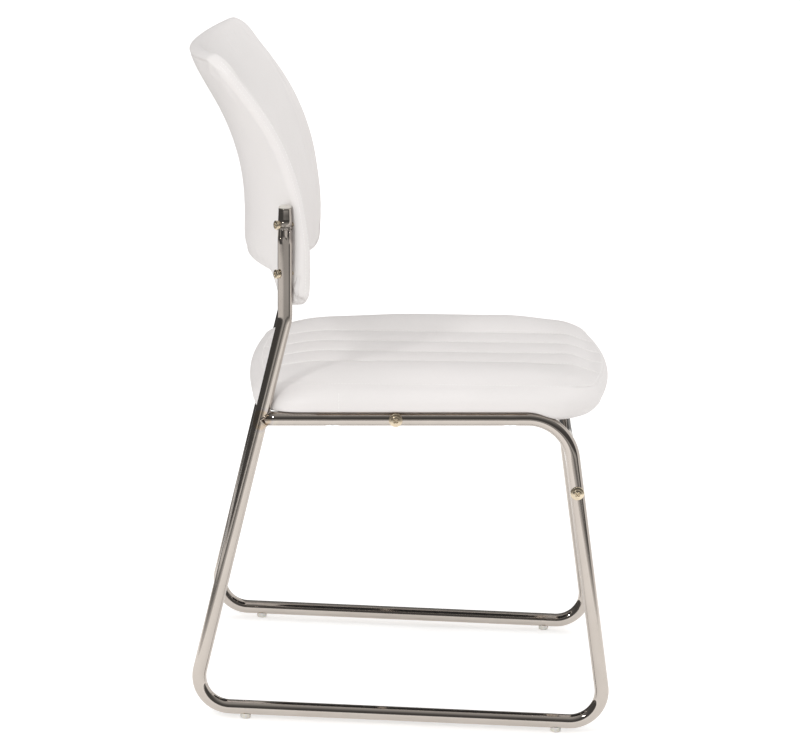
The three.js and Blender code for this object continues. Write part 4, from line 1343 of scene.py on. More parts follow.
def seatRoll(y):
    nose = smoothStep((seat["front"] + seat["noseLength"] - y) / seat["noseLength"])
    tail = smoothStep((y - seat["rear"] + seat["tailLength"]) / seat["tailLength"])
    return seat["noseDrop"] * nose + seat["tailDrop"] * tail


def seatEdge(y):
    share = (y - seat["front"]) / (seat["rear"] - seat["front"])
    return seat["edgeFront"] + (seat["edgeRear"] - seat["edgeFront"]) * share - seatRoll(y) / 2


# Panels rise quickly from each sewn line and are flatter in their middles
def panelCrown(x):
    across = np.abs(x)
    arch = np.abs(np.sin(math.pi * (across / seat["pitch"] + 0.5)))
    inner = arch ** seat["channelPower"] * seat["channelCrown"]
    share = np.clip((across - outerSeam) / (seamHalf - outerSeam), 0, 1)
    outer = seat["outerCrown"] * np.sin(math.pi * share) ** seat["outerPower"]
    return np.where(across < outerSeam, inner, outer)


# How far each place on the top lies inside the seam that runs round it
def insideSeam(x, y):
    half, low, high, _, _ = seatShape(*seatTopInsets, 1)
    inX = np.clip(x, -half, half)
    return half, y - low(inX), high(inX) - y


def seatTop(x, y):
    half, fromFront, fromRear = insideSeam(x, y)
    fadeRear = np.where(np.abs(x) > outerSeam, seat["fadeRearOuter"], seat["fadeRear"])
    fadeFront = np.where(np.abs(x) > outerSeam, seat["fadeFrontOuter"], seat["fadeFront"])
    crown = panelCrown(x) * smoothStep(np.minimum(fromFront / fadeFront, fromRear / fadeRear))
    fromMiddle = (y - (seat["front"] + seat["rear"]) / 2) / (seat["rear"] - seat["front"])
    body = seat["valley"] + seat["valleyRise"] * fromMiddle - seatRoll(y) + crown
    nearest = np.minimum(1 - np.abs(x) / half, np.minimum(fromFront, fromRear) / half)
    edge = seatEdge(y)
    return edge + (body - edge) * smoothStep(nearest * seat["edgeRunShare"])


def seatUnder(y):
    return -seat["lip"] * smoothStep((seat["front"] + seat["lipLength"] - y) / seat["lipRamp"])


# A layer of the side wall, at a share of the way from the underside to the top seam
def boxing(share, inset, endInset):
    def depth(x, y):
        return seatUnder(y) + (seatEdge(y) - seatUnder(y)) * share
    tuck = seat["frontTuck"] * max(0, 1 - share / seat["frontTuckShare"]) ** 2
    return {"inset": inset, "endInset": endInset, "depth": depth, "rise": share, "tuck": tuck}


# A layer of the underside, at a share of the depth of the front lip
def sole(share, drop, inset, tuck=0):
    return {"inset": inset, "tuck": tuck, "depth": lambda x, y: seatUnder(y) * share - drop}


def seatPlace(x, y, depth):
    return fromSeat(np.column_stack([x, y, seat["boardBase"] + depth]))


# Columns lie close beside each sewn line and evenly between them
def seatColumns():
    near, far = seat["seamSteps"]
    places = [0]
    start = 0
    for seam in (seat["pitch"] / 2, outerSeam, seamHalf):
        inner = [start + near, start + far] if start else []
        outer = [seam - far, seam - near]
        first = inner[-1] if inner else start
        count = max(2, round((outer[0] - first) / seat["grid"]))
        places += [*inner, *np.linspace(first, outer[0], count + 1)[1:-1], *outer, seam]
        start = seam
    half = np.array(places)
    return np.concatenate([-half[:0:-1], half])


def seatRows():
    ends = np.array([0, *seat["rowShares"]])
    even = np.linspace(seat["evenFromShare"], 1 - seat["evenFromShare"], seat["evenRows"])
    return np.concatenate([ends, even, 1 - ends[::-1]])


# From the recess for the board, out under the hem and round the sides to the top
def buildSeat():
    recess, hem, tuck = seat["boardInset"] - fitGap, seat["hem"], seat["tuck"]
    inset, end = seatTopInsets
    layers = [
        {"inset": recess, "depth": seat["board"] + fitGap},
        {"inset": recess, "depth": 0.0},
        {"inset": hem, "depth": -0.02},
        {"inset": hem, "depth": -0.24},
        sole(share=0.15, drop=0.24, inset=20, tuck=4),
        sole(share=0.8, drop=0.24, inset=11, tuck=7),
        sole(share=1, drop=0.1, inset=tuck + 2, tuck=8.6),
        boxing(share=0.06, inset=tuck * 0.7, endInset=4.4),
        boxing(share=0.16, inset=tuck * 0.35, endInset=3.4),
        boxing(share=0.3, inset=tuck * 0.1, endInset=2),
        boxing(share=0.45, inset=0, endInset=0.7),
        boxing(share=0.6, inset=inset * 0.08, endInset=end * 0.05),
        boxing(share=0.74, inset=inset * 0.26, endInset=end * 0.2),
        boxing(share=0.87, inset=inset * 0.56, endInset=end * 0.5),
        boxing(share=0.96, inset=inset * 0.88, endInset=end * 0.86),
        {"inset": inset, "endInset": end, "depth": seatTop, "rise": 1},
    ]
    form = layered(seatShape, seatPlace, columns, rows, layers, outerSeam + seat["straight"])
    held = heldLoops(form, 7)
    held[form["loops"][7]] = 0.6
    held[form["loops"][-1]] = 1
    for column in seamColumns:
        held[form["grid"][column]] = 1
    return form, puffed("seatSwell", form["points"], form["faces"], held, seat["cloth"])


# Relief of the sewing: a ridge over each sewn line between two grooves, ripples beside it, the
# seam's groove at both ends, gathers round the corners and the join on the right side
seatRelief = {
    "upFacing": (2, 0.6),
    "waves": ((1, 0.63, 1.9, 0), (0.6, 0.37, 4.1, 1.3)),
    "ripple": 0.16,
    "rippleFrom": 6,
    "rippleWidth": 5.5,
    "ridge": 0.65,
    "ridgeWidth": 1.1,
    "groove": 0.3,
    "grooveFrom": 3,
    "grooveWidth": 1.5,
    "seamFade": 14,
    "endDepth": 1.5,
    "endWidth": 1.4,
    "rearLag": 2,
    "middle": -18,
    "endFrom": 175,
    "endRamp": 25,
    "topFrom": 15,
    "cornerFrom": 165,
    "cornerRamp": 12,
    "gather": 0.5,
    "gathers": 60,
    "gatherDrift": (0.8, 9),
    "gatherHeight": 12,
    "gatherWidth": 13,
    "gatherBase": 11,
    "gatherRamp": 5,
    "join": 0.5,
    "joinBehind": 2.4,
    "joinWidth": 1.4,
    "joinReach": 20,
    "sideFacing": 1.6,
}


def seatDetail(points, normals):
    relief = seatRelief
    x, y, z = toSeat(points).T
    gain, offset = relief["upFacing"]
    up = smoothStep(normals[:, 2] * gain - offset)
    half, fromFront, fromRear = insideSeam(x, y)
    within = np.abs(x) < half
    inside = smoothStep(np.minimum(fromFront, fromRear) / relief["seamFade"]) * within
    move = np.zeros(len(points))
    for number, seam in enumerate(channelSeams):
        gap = np.abs(x - seam)
        wave = sum(size * np.sin(y * rate + number * shift + start)
                   for size, rate, shift, start in relief["waves"])
        line = relief["ripple"] * wave * hump(gap - relief["rippleFrom"], relief["rippleWidth"])
        line += relief["ridge"] * hump(gap, relief["ridgeWidth"])
        line -= relief["groove"] * hump(gap - relief["grooveFrom"], relief["grooveWidth"])
        move += line * up * inside
    fromMiddle = np.abs(y - relief["middle"])
    atEnd = np.minimum(np.abs(fromFront), np.abs(fromRear) + relief["rearLag"])
    ends = smoothStep((fromMiddle - relief["endFrom"]) / relief["endRamp"]) * (z > relief["topFrom"])
    move -= relief["endDepth"] * hump(atEnd, relief["endWidth"]) * ends * within
    turn = np.arctan2(y - relief["middle"], x)
    overX, overY = (np.maximum(0, past - relief["cornerFrom"]) for past in (np.abs(x), fromMiddle))
    corner = smoothStep(np.minimum(overX, overY) / relief["cornerRamp"])
    corner = corner * smoothStep((z - relief["gatherBase"]) / relief["gatherRamp"])
    lowDown = hump(z - relief["gatherHeight"], relief["gatherWidth"])
    size, rate = relief["gatherDrift"]
    gathers = np.sin(turn * relief["gathers"] + size * np.sin(turn * rate))
    move += relief["gather"] * gathers * corner * lowDown
    behind = y - seat["joinY"]
    near = (x < 0) & (np.abs(behind) < relief["joinReach"])
    side = smoothStep(1 - np.abs(normals[:, 2]) * relief["sideFacing"])
    move -= near * relief["join"] * hump(behind - relief["joinBehind"], relief["joinWidth"]) * side
    return points + normals * move[:, None]


columns, rows = seatColumns(), seatRows()
seamColumns = [int(np.argmin(np.abs(columns - seam))) for seam in channelSeams]
form, points = buildSeat()
creased = [form["grid"][column] for column in seamColumns] + [closed(form["loops"][-1])]
cushion = dressed("seatCushion", points, form["faces"], creased, seat["crease"], seatDetail, barLines,
                  seat["clearance"])
finish(cushion, vinyl, ["seat_cushion"])

stitches = {
    "length": 3.4,
    "thickness": 0.6,
    "spacing": 4.4,
    "lift": 0.1,
    "seed": 5,
    "above": 1,
    "endGap": 4,
    "seamPoints": 120,
    "besideSeam": 3,
    "joinPoints": 14,
    "joinFrom": 1.5,
}


# Guide points over the top, a little above it
def overTop(x, y):
    return seatPlace(x, y, seatTop(x, y) + stitches["above"])


def channelPath(seam):
    _, low, high, _, _ = seatShape(*seatTopInsets, 1)
    start, stop = float(low(seam)) + stitches["endGap"], float(high(seam)) - stitches["endGap"]
    y = np.linspace(start, stop, stitches["seamPoints"])
    return overTop(np.full(len(y), seam), y)


def seatRim():
    insets = (inset + stitches["besideSeam"] for inset in seatTopInsets)
    x, y = spread(seatShape(*insets, 1), columns, rows, outerSeam + seat["straight"])
    i, j = rimOf(*x.shape)
    return overTop(x[i, j], y[i, j])


def joinPath():
    count = stitches["joinPoints"]
    heights = np.linspace(stitches["joinFrom"], seatEdge(seat["joinY"]) - stitches["above"], count)
    return seatPlace(np.full(count, -seat["half"] - 1.0), np.full(count, seat["joinY"]), heights)


seatPaths = [(channelPath(seam), False) for seam in channelSeams] + [(seatRim(), True), (joinPath(), False)]
sewn("seatStitches", surfaceTree(cushion), seatPaths, stitches, thread)
print("seat padded and sewn")

# Back: a cover over the rear that wraps forward to a sewn ridge, and a front pad inside it

back.update({
    "proud": 3.7,
    "frontSwell": 12,
    "swellShare": 0.93,
    "swellPower": 2.5,
    "lowSwell": 0.62,
    "lowPower": 20,
    "topSwell": 0.45,
    "topPower": 2.6,
    "wrapPower": 1.5,
    "lowRise": 3.4,
    "topDrop": 2,
    "earRight": 3.5,
    "earLeft": -1.5,
    "boardRear": 7,
    "boardFront": 1,
    "boardInset": 5,
    "rimGap": 0.6,
    "ridgeUpper": 4,
    "ridgeLower": 9.5,
    "ridgeTurn": 600,
    "ridgeTurnLength": 80,
    "edgeRound": 6,
    "lapHalf": 236,
    "lapHalfRamp": 16,
    "lapFrom": 846,
    "lapRamp": 12,
    "straight": 90,
    "grid": 8,
    "gridEdge": (26, 22, 6),
    "lowShares": (0, 0.006, 0.014, 0.024, 0.036, 0.05, 0.064, 0.08, 0.098, 0.118),
    "evenShares": (0.14, 0.945, 31),
    "highShares": (0.962, 0.977, 0.989, 1),
    "crease": 0.3,
    "clearance": 0.25,
    "cloth": {"pressure": 3.0, "stretch": 15.0, "bend": 0.6, "cap": 1.6},
})
back["edgeY"] = wrapCentre + math.sqrt(back["wrap"] ** 2 - back["halfWidth"] ** 2)


# The lower edge drops to an ear at both sides and the upper one climbs a little
def backShape(inset, endInset, rise=0):
    half = back["halfWidth"] - inset
    topCorner, earCorner = back["topCorner"] - inset / 2, back["earCorner"] - inset / 2
    topInset = inset + rise + back["topDrop"]

    def low(x):
        ear = smoothStep((np.abs(x) - back["earInner"]) / (back["earOuter"] - back["earInner"]))
        lifted = back["lowRise"] * (1 - 0.5 * np.minimum(1, np.abs(x) / back["earInner"]) ** 2)
        slack = np.where(np.asarray(x) < 0, back["earRight"], back["earLeft"])
        middle = back["bottom"] + lifted
        edge = middle + (back["ear"] + slack - middle) * ear
        return edge + endInset + cornerFall(x, half, earCorner)

    def high(x):
        return back["top"] - topInset + back["climb"] * (x / half) ** 2 - cornerFall(x, half, topCorner)

    return half, low, high, earCorner, topCorner


def backLean(z):
    climbed = np.maximum(0, z - back["bendStart"])
    angle = math.radians(back["lean"])
    bent = np.minimum(climbed, back["bend"] * math.sin(angle))
    arc = back["bend"] - np.sqrt(back["bend"] ** 2 - bent ** 2)
    return arc + (climbed - bent) * math.tan(angle)


def backMiddle(x, z):
    share = np.maximum(0, (z - back["bendStart"]) / (back["top"] - back["bendStart"]))
    radius = back["wrap"] + (back["wrapTop"] - back["wrap"]) * share ** back["wrapPower"]
    wrap = np.sqrt(radius ** 2 - x ** 2) - np.sqrt(radius ** 2 - back["halfWidth"] ** 2)
    return back["edgeY"] + backLean(z) + wrap


def backPlace(x, z, depth):
    step = 0.25
    across = (backMiddle(x + step, z) - backMiddle(x - step, z)) / (2 * step)
    up = (backMiddle(x, z + step) - backMiddle(x, z - step)) / (2 * step)
    normal = np.column_stack([-across, np.ones(len(x)), -up])
    normal /= np.linalg.norm(normal, axis=1, keepdims=True)
    return np.column_stack([x, backMiddle(x, z), z]) + normal * np.asarray(depth)[:, None]


def backSwell(x, z, inset, topShare=0):
    half, low, high, _, _ = backShape(inset, inset)
    inX = np.clip(x, -half, half)
    u = np.minimum(1, np.abs(x) / half / back["swellShare"])
    v = np.clip((z - low(inX)) / (high(inX) - low(inX)), 0, 1)
    lowSide = 1 - (1 - back["lowSwell"]) * (1 - 2 * v) ** back["lowPower"]
    highSide = 1 - (1 - topShare) * np.abs(2 * v - 1) ** back["topPower"]
    return (1 - u ** back["swellPower"]) * np.where(v < 0.5, lowSide, highSide)


def ridge(z):
    upper = smoothStep((z - back["ridgeTurn"]) / back["ridgeTurnLength"])
    return -back["ridgeLower"] - (back["ridgeUpper"] - back["ridgeLower"]) * upper


def rearFace(x, z):
    return back["rearEdge"] + (back["rearMiddle"] - back["rearEdge"]) * backSwell(x, z, back["edgeRound"])


def frontFace(x, z):
    inset = back["boardInset"] + back["edgeRound"]
    return ridge(z) - back["proud"] - back["frontSwell"] * backSwell(x, z, inset, back["topSwell"])


def backGrid():
    half = back["halfWidth"]
    evenGap, edgeGap, edgeCount = back["gridEdge"]
    even, edge = np.arange(0, half - evenGap, back["grid"]), np.linspace(half - edgeGap, half, edgeCount)
    places = np.concatenate([even, edge])
    heights = np.concatenate([back["lowShares"], np.linspace(*back["evenShares"]), back["highShares"]])
    return np.concatenate([-places[:0:-1], places]), heights


# Depths of layers: at a distance from the ridge, or at a share of the way to it from the rear face
def fromRidge(offset):
    return lambda x, z: ridge(z) + offset


def tapered(share):
    return lambda x, z: rearFace(x, z) + (ridge(z) - rearFace(x, z)) * share


# How far the front pad laps over the top edge: none at the sides, whole past the top corners
def lapShare(x, z):
    across = smoothStep((back["lapHalf"] - np.abs(x)) / back["lapHalfRamp"])
    return across * smoothStep((z - back["lapFrom"]) / back["lapRamp"])


# Depth of a rim layer: an offset from the ridge at the sides, a depth of its own on the top edge
def lapped(offset, top):
    def depth(x, z):
        side = ridge(z) + offset
        return side + (top - side) * lapShare(x, z)
    return depth


# From the recess for the board, forward over the ridge and round the edge to the rear face
def coverLayers():
    recess = back["boardInset"] - back["rimGap"]
    return [
        {"inset": recess, "depth": back["boardRear"] + fitGap},
        {"inset": recess, "depth": fromRidge(1.2)},
        {"inset": recess - 0.2, "depth": fromRidge(-0.9)},
        {"inset": 3, "rise": 0.9, "depth": fromRidge(-1.5)},
        {"inset": 1.5, "rise": 1.7, "depth": fromRidge(-0.6)},
        {"inset": 0.3, "rise": 2.7, "depth": fromRidge(1.4)},
        {"inset": 0, "rise": 2.9, "depth": fromRidge(4.6)},
        {"inset": 0.5, "rise": 2.5, "depth": fromRidge(7.8)},
        {"inset": 1.8, "endInset": 0.1, "rise": 1.3, "depth": tapered(0.3)},
        {"inset": 3.0, "endInset": 0.2, "rise": 0.4, "depth": tapered(0.17)},
        {"inset": 5.0, "endInset": 0.3, "rise": -0.4, "depth": tapered(0.05)},
        {"inset": 8.5, "endInset": 0.9, "rise": 0, "depth": rearFace},
    ]


# From the board's face, over the top edge behind the cover's ridge and round to the front face
def padLayers():
    inset = back["boardInset"]
    return [
        {"inset": inset, "depth": -back["boardFront"] - fitGap},
        {"inset": inset, "depth": lapped(0.8, -3.2)},
        {"inset": inset - 0.3, "rise": -2, "depth": lapped(0.3, -3.4)},
        {"inset": inset - 0.5, "rise": -1.8, "depth": lapped(0, 8.2)},
        {"inset": inset - 0.7, "rise": -2.6, "depth": lapped(-0.3, 9.3)},
        {"inset": inset - 0.9, "rise": -3.6, "depth": lapped(-0.6, 8.7)},
        {"inset": inset - 0.9, "rise": -4.1, "depth": lapped(-1.0, 4)},
        {"inset": inset - 0.2, "endInset": 5, "rise": -4.4, "depth": lapped(-2.2, -4)},
        {"inset": inset + 2, "endInset": 8, "rise": -4.2, "depth": lapped(-3.4, -9.5)},
        {"inset": inset + back["edgeRound"], "endInset": 13, "rise": -2, "depth": frontFace},
    ]


# Folds where the cloth is gathered: each is a short valley from one place to another
foldEnd = 0.04
backFolds = [
    {"from": (-214, 560), "to": (-222, 596), "width": 3.2, "depth": 1.6, "front": True},
    {"from": (-206, 560), "to": (-208, 584), "width": 3.0, "depth": 1.1, "front": True},
    {"from": (-196, 862), "to": (-217, 846), "width": 4.0, "depth": 1.4, "front": True},
    {"from": (214, 560), "to": (221, 592), "width": 3.2, "depth": 1.4, "front": True},
    {"from": (198, 863), "to": (216, 848), "width": 4.0, "depth": 1.2, "front": True},
    {"from": (-120, 600), "to": (-112, 626), "width": 5.0, "depth": 0.5, "front": False},
    {"from": (96, 600), "to": (101, 622), "width": 5.0, "depth": 0.5, "front": False},
]

# The tuck sewn in low on the right ear, as places seen from the side
earTuck = {
    "line": [(158, 599), (160.5, 583), (159, 571), (154, 567.5)],
    "width": 1.6,
    "depth": 4.5,
    "pit": (152.6, 567.4),
    "pitWidth": 2.4,
    "pitDepth": 4,
    "outside": -218,
    "outsideRamp": 6,
    "below": 604,
    "belowRamp": 10,
}

# Fine puckers that run round the back's edge
backPucker = {
    "inset": 8,
    "height": 0.14,
    "count": 95,
    "drift": 17,
    "driftSize": 2,
    "from": 4,
    "width": 8,
    "middle": 720,
    "facing": (3, 1),
}


def tucked(points):
    side = points[:, [1, 2]]
    line = np.array(earTuck["line"], float)
    gap = np.min([alongStep(side, a, b)[2] for a, b in zip(line, line[1:])], axis=0)
    below = smoothStep((earTuck["below"] - points[:, 2]) / earTuck["belowRamp"])
    depth = earTuck["depth"] * hump(gap, earTuck["width"]) * below
    fromPit = np.linalg.norm(side - earTuck["pit"], axis=1)
    depth += earTuck["pitDepth"] * hump(fromPit, earTuck["pitWidth"])
    return depth * smoothStep((earTuck["outside"] - points[:, 0]) / earTuck["outsideRamp"])


def foldedIn(points, onFront):
    depth = np.zeros(len(points))
    for fold in backFolds:
        if fold["front"] == onFront:
            start, stop = np.array(fold["from"], float), np.array(fold["to"], float)
            share, _, gap = alongStep(points[:, [0, 2]], start, stop)
            fade = np.sin(math.pi * np.clip(share, foldEnd, 1 - foldEnd)) ** 0.5
            depth += fold["depth"] * hump(gap, fold["width"]) * fade
    return depth


def puckered(points, normals):
    x, z = points[:, 0], points[:, 2]
    half, low, high, _, _ = backShape(backPucker["inset"], backPucker["inset"])
    inX = np.clip(x, -half, half)
    edge = np.minimum(half - np.abs(x), np.minimum(z - low(inX), high(inX) - z))
    turn = np.arctan2(z - backPucker["middle"], x)
    drift = np.sin(turn * backPucker["drift"]) * backPucker["driftSize"]
    height = backPucker["height"] * np.sin(turn * backPucker["count"] + drift)
    gain, offset = backPucker["facing"]
    facing = smoothStep(np.abs(normals[:, 1]) * gain - offset)
    return height * hump(edge - backPucker["from"], backPucker["width"]) * facing


def backDetail(onFront):
    def relief(points, normals):
        move = puckered(points, normals) - tucked(points) - foldedIn(points, onFront)
        return points + normals * move[:, None]
    return relief


backColumns, backRows = backGrid()
uprightLines = [line[:2] for line in barLines]


# Loops held still are those up to the sewn edge, and creased ones lie on the ridge
def buildBack(name, layers, slackLoop, creased, onFront, node):
    form = layered(backShape, backPlace, backColumns, backRows, layers, back["straight"])
    held = heldLoops(form, 8)
    if slackLoop is not None:
        held[form["loops"][slackLoop]] = 0.5
    points = puffed(name + "Swell", form["points"], form["faces"], held, back["cloth"])
    loops = [closed(form["loops"][number]) for number in creased]
    piece = dressed(name, points, form["faces"], loops, back["crease"], backDetail(onFront), uprightLines,
                    back["clearance"])
    finish(piece, vinyl, [node])
    return piece


cover = buildBack("backCover", coverLayers(), 8, (4, 5, 6), False, "back_cover")
buildBack("backPad", padLayers(), None, (4, 5), True, "back_front_pad")

backStitches = {
    "length": 3.3,
    "thickness": 0.6,
    "spacing": 4.3,
    "lift": 0.1,
    "seed": 8,
    "rows": {"Outer": 1.7, "Inner": 7.2},
}


# Down one side, along the lower edge and up the other; the lap hides the ridge on the top edge
def ridgePath(offset):
    x, z = spread(backShape(0, 0), backColumns, backRows, back["straight"])
    c, r = x.shape
    i, j = np.roll(rimOf(c, r), r - 1, axis=1)[:, :2 * (r - 1) + c]
    return backPlace(x[i, j], z[i, j], ridge(z[i, j]) + offset)


coverTree = surfaceTree(cover)
for label, offset in backStitches["rows"].items():
    sewn("backStitches" + label, coverTree, [(ridgePath(offset), False)], backStitches, thread)
print("back padded and sewn")

# What stays from the frame and its finishes

plywood = {
    "plies": 180.0,
    "waviness": 1.5,
    "figure": 30.0,
    "dark": (0.33, 0.2, 0.1),
    "light": (0.62, 0.44, 0.26),
    "rough": (0.6, 0.85),
    "bump": 0.3,
    "bumpDepth": 0.0004,
}


def plywoodFinish():
    material, tree, shader, place = newMaterial("plywoodBoard")
    settings = {"Vector": place, "Scale": plywood["plies"], "Distortion": plywood["waviness"]}
    plies = add(tree, "ShaderNodeTexWave", bands_direction="Z", inputs=settings).outputs["Fac"]
    figure = noise(tree, place, plywood["figure"], detail=6.0)["Fac"]
    tone = maths(tree, "MULTIPLY", plies, figure)
    colour = ramp(tree, tone, [(0.1, plywood["dark"]), (0.6, plywood["light"])])
    tree.links.new(colour, shader.inputs["Base Color"])
    tree.links.new(ranged(tree, figure, *plywood["rough"]), shader.inputs["Roughness"])
    bumped(tree, shader, figure, plywood["bump"], plywood["bumpDepth"])
    return material


felt = {
    "bonds": 620.0,
    "uneven": 0.15,
    "fibres": 900.0,
    "weave": (0.2, 0.5),
    "dark": (0.006, 0.006, 0.007),
    "light": (0.03, 0.03, 0.032),
    "rough": (0.75, 0.95),
    "bump": 0.5,
    "bumpDepth": 0.0003,
}


# A thin black felt, pressed together in small spots on a slanted grid
def feltFinish():
    material, tree, shader, place = newMaterial("dustCloth")
    slanted = add(tree, "ShaderNodeMapping", inputs={"Vector": place, "Rotation": (0, 0, math.radians(45))})
    settings = {"Vector": slanted.outputs[0], "Scale": felt["bonds"], "Randomness": felt["uneven"]}
    spots = add(tree, "ShaderNodeTexVoronoi", inputs=settings).outputs["Distance"]
    fibres = noise(tree, place, felt["fibres"], detail=5.0)["Fac"]
    weave = maths(tree, "MULTIPLY", ranged(tree, spots, 0.0, 1.0, *felt["weave"]), fibres)
    colour = ramp(tree, weave, [(0.1, felt["dark"]), (0.6, felt["light"])])
    tree.links.new(colour, shader.inputs["Base Color"])
    tree.links.new(ranged(tree, weave, *felt["rough"]), shader.inputs["Roughness"])
    bumped(tree, shader, weave, felt["bump"], felt["bumpDepth"])
    return material


ply = plywoodFinish()
keptFinishes = {"_board": ply, "dust_cover": feltFinish(), "_insert_": zinc, "tee_nut": zinc}
for name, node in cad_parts.items():
    for key, material in keptFinishes.items():
        if key in name:
            node.data.materials.clear()
            node.data.materials.append(material)

# Stage, light and camera. The surround's rings are [radius, height, level], from the floor up.

studio = {
    "floorHalf": 30000,
    "floorColour": (0.91, 0.9, 0.89),
    "floorGlow": 0.36,
    "ambient": 0.97,
    "key": {"place": (-2420, 1480, 2080), "size": 260, "power": 15, "look": (0, 0, 450)},
    "cardTint": (1, 0.985, 0.97),
    "surroundCentre": (0, -300),
    "surroundStep": 6,
    "surround": [
        (1300, 2, 0.95), (1500, 2, 0.75), (1700, 2, 0.52), (2000, 2, 0.3), (2450, 2, 0.1), (2650, 2, 0.1),
        (2900, 2, 0.1), (3300, 2, 0.1), (3700, 2, 0.09), (4300, 2, 0.09), (4700, 2, 0.09),
        (5000, 2, 0.09), (5000, 500, 0.09), (5000, 2600, 0.1), (4200, 3400, 0.18), (3000, 4400, 0.36),
        (2100, 5200, 0.5), (0, 5200, 0.5),
    ],
    "glow": {"from": -130, "to": 64, "near": 2600, "far": 5100, "level": 0.52, "side": 0.95,
             "sideFrom": -10, "sideTo": -50, "sideFar": 3400, "edge": 20, "lowerThan": 10},
    "open": {"from": 80, "to": 172, "level": 0.95},
    "darkStrip": {"place": (1400, 3000), "width": 380, "length": 5000, "level": 0.05},
}


def flatPiece(name, corners, material):
    mesh = bpy.data.meshes.new(name)
    mesh.from_pydata([tuple(np.array(c) * mm) for c in corners], [], [(0, 1, 2, 3)])
    mesh.materials.append(material)
    piece = link(name, mesh)
    return piece


def floorFinish():
    material, tree, shader, _ = newMaterial("floorPaint")
    shader.inputs["Base Color"].default_value = (*studio["floorColour"], 1)
    shader.inputs["Roughness"].default_value = 0.9
    shader.inputs["Specular IOR Level"].default_value = 0.1
    shader.inputs["Emission Color"].default_value = (1, 1, 1, 1)
    rays = add(tree, "ShaderNodeLightPath").outputs
    seen = maths(tree, "MAXIMUM", rays["Is Camera Ray"], rays["Is Glossy Ray"])
    tree.links.new(maths(tree, "MULTIPLY", seen, studio["floorGlow"]), shader.inputs["Emission Strength"])
    return material


# Cards give off the grey that their own shade attribute holds
def cardFinish():
    material, tree, shader, _ = newMaterial("cardPaint")
    shader.inputs["Base Color"].default_value = (0, 0, 0, 1)
    shader.inputs["Specular IOR Level"].default_value = 0
    shader.inputs["Emission Color"].default_value = (*studio["cardTint"], 1)
    shade = add(tree, "ShaderNodeAttribute", attribute_name="shade")
    tree.links.new(shade.outputs["Fac"], shader.inputs["Emission Strength"])
    return material


# Shades a card and hides it from every ray but a mirrored one, so that only shiny pieces show it
def onlyMirrored(piece, shades):
    layer = piece.data.attributes.new("shade", "FLOAT", "POINT")
    layer.data.foreach_set("value", np.asarray(shades, np.float32))
    piece.visible_camera = False
    piece.visible_diffuse = False
    piece.visible_transmission = False
    piece.visible_shadow = False


# Grey of one ring of the surround: open and bright on one side, with a glow low on the other
def ringShade(turns, radius, height, level):
    glow, gap = studio["glow"], studio["open"]
    degrees = np.degrees(turns)
    signed = (degrees + 180) % 360 - 180
    aside = np.abs(signed - (glow["from"] + glow["to"]) / 2)
    lit = smoothStep((glow["to"] - glow["from"] - 2 * aside) / glow["edge"])
    lit = lit * (height < glow["lowerThan"]) * (glow["near"] < radius < glow["far"])
    side = smoothStep((glow["sideFrom"] - signed) / (glow["sideFrom"] - glow["sideTo"]))
    lit = lit * (glow["level"] * (1 - side) + glow["side"] * (radius < glow["sideFar"]) * side)
    isOpen = (turns > math.radians(gap["from"])) & (turns < math.radians(gap["to"]))
    return np.where(isOpen, max(level, gap["level"]), np.maximum(level, lit))


def buildSurround(material):
    turns = np.radians(np.arange(0, 360, studio["surroundStep"]))
    cx, cy = studio["surroundCentre"]
    rings, shades = [], []
    for radius, height, level in studio["surround"]:
        rings.append([(cx - radius * math.cos(t), cy - radius * math.sin(t), height) for t in turns])
        shades.append(ringShade(turns, radius, height, level))
    points, faces = skinned(np.array(rings))
    mesh = bpy.data.meshes.new("surround")
    mesh.from_pydata((points * mm).tolist(), [], faces[:-2])
    mesh.materials.append(material)
    piece = link("surround", mesh)
    onlyMirrored(piece, np.concatenate(shades))


wide = studio["floorHalf"]
flatPiece("floor", [(-wide, -wide, 0), (wide, -wide, 0), (wide, wide, 0), (-wide, wide, 0)], floorFinish())
cardPaint = cardFinish()
buildSurround(cardPaint)
strip = studio["darkStrip"]
(x, z), half, length = strip["place"], strip["width"] / 2, strip["length"] / 2
corners = [(x - half, -length, z), (x + half, -length, z), (x + half, length, z), (x - half, length, z)]
onlyMirrored(flatPiece("darkStrip", corners, cardPaint), [strip["level"]] * 4)


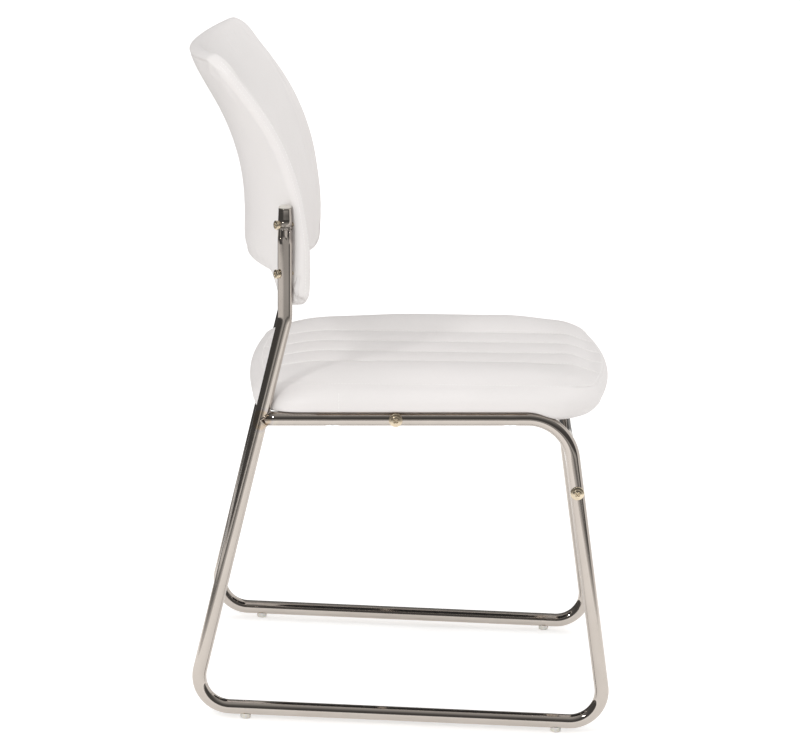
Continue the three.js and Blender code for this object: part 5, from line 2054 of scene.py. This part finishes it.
# White where it is seen or mirrored, a little less as light
def buildWorld():
    world = bpy.data.worlds.new("studio")
    world.use_nodes = True
    tree = world.node_tree
    backdrop = tree.nodes["Background"]
    rays = add(tree, "ShaderNodeLightPath").outputs
    direct = maths(tree, "MAXIMUM", rays["Is Camera Ray"], rays["Is Glossy Ray"])
    direct = maths(tree, "MAXIMUM", direct, rays["Is Transmission Ray"])
    backdrop.inputs["Color"].default_value = (1, 1, 1, 1)
    tree.links.new(ranged(tree, direct, studio["ambient"], 1.0), backdrop.inputs["Strength"])
    return world


def buildLamp():
    key = studio["key"]
    lamp = bpy.data.lights.new("key", "AREA")
    lamp.shape = "SQUARE"
    lamp.size = key["size"] * mm
    lamp.energy = key["power"]
    piece = link("key", lamp)
    piece.location = Vector(key["place"]) * mm
    piece.rotation_euler = (Vector(key["look"]) * mm - piece.location).to_track_quat("-Z", "Y").to_euler()


# The photograph's view in metres and degrees, with its lens and sensor in millimetres
view = {"place": (-4.4475, 0.0109, 1.4238), "yaw": -0.183, "pitch": 12.677, "roll": 2.587, "lens": 149.85,
        "sensor": 36, "far": 200}


def buildCamera():
    yaw, pitch, roll = (math.radians(view[label]) for label in ("yaw", "pitch", "roll"))
    ahead = Vector((math.cos(yaw), math.sin(yaw), 0))
    right = Vector((math.sin(yaw), -math.cos(yaw), 0))
    up = Vector((0, 0, 1))
    forward = ahead * math.cos(pitch) - up * math.sin(pitch)
    lifted = ahead * math.sin(pitch) + up * math.cos(pitch)
    axisX = right * math.cos(roll) + lifted * math.sin(roll)
    axisY = lifted * math.cos(roll) - right * math.sin(roll)
    data = bpy.data.cameras.new("camera")
    data.lens = view["lens"]
    data.sensor_width = view["sensor"]
    data.clip_end = view["far"]
    camera = link("camera", data)
    turned = Matrix((axisX, axisY, -forward)).transposed().to_4x4()
    camera.matrix_world = Matrix.Translation(view["place"]) @ turned
    return camera


scene.world = buildWorld()
buildLamp()
scene.camera = buildCamera()
scene.view_settings.view_transform = "Standard"
print("stage lit")
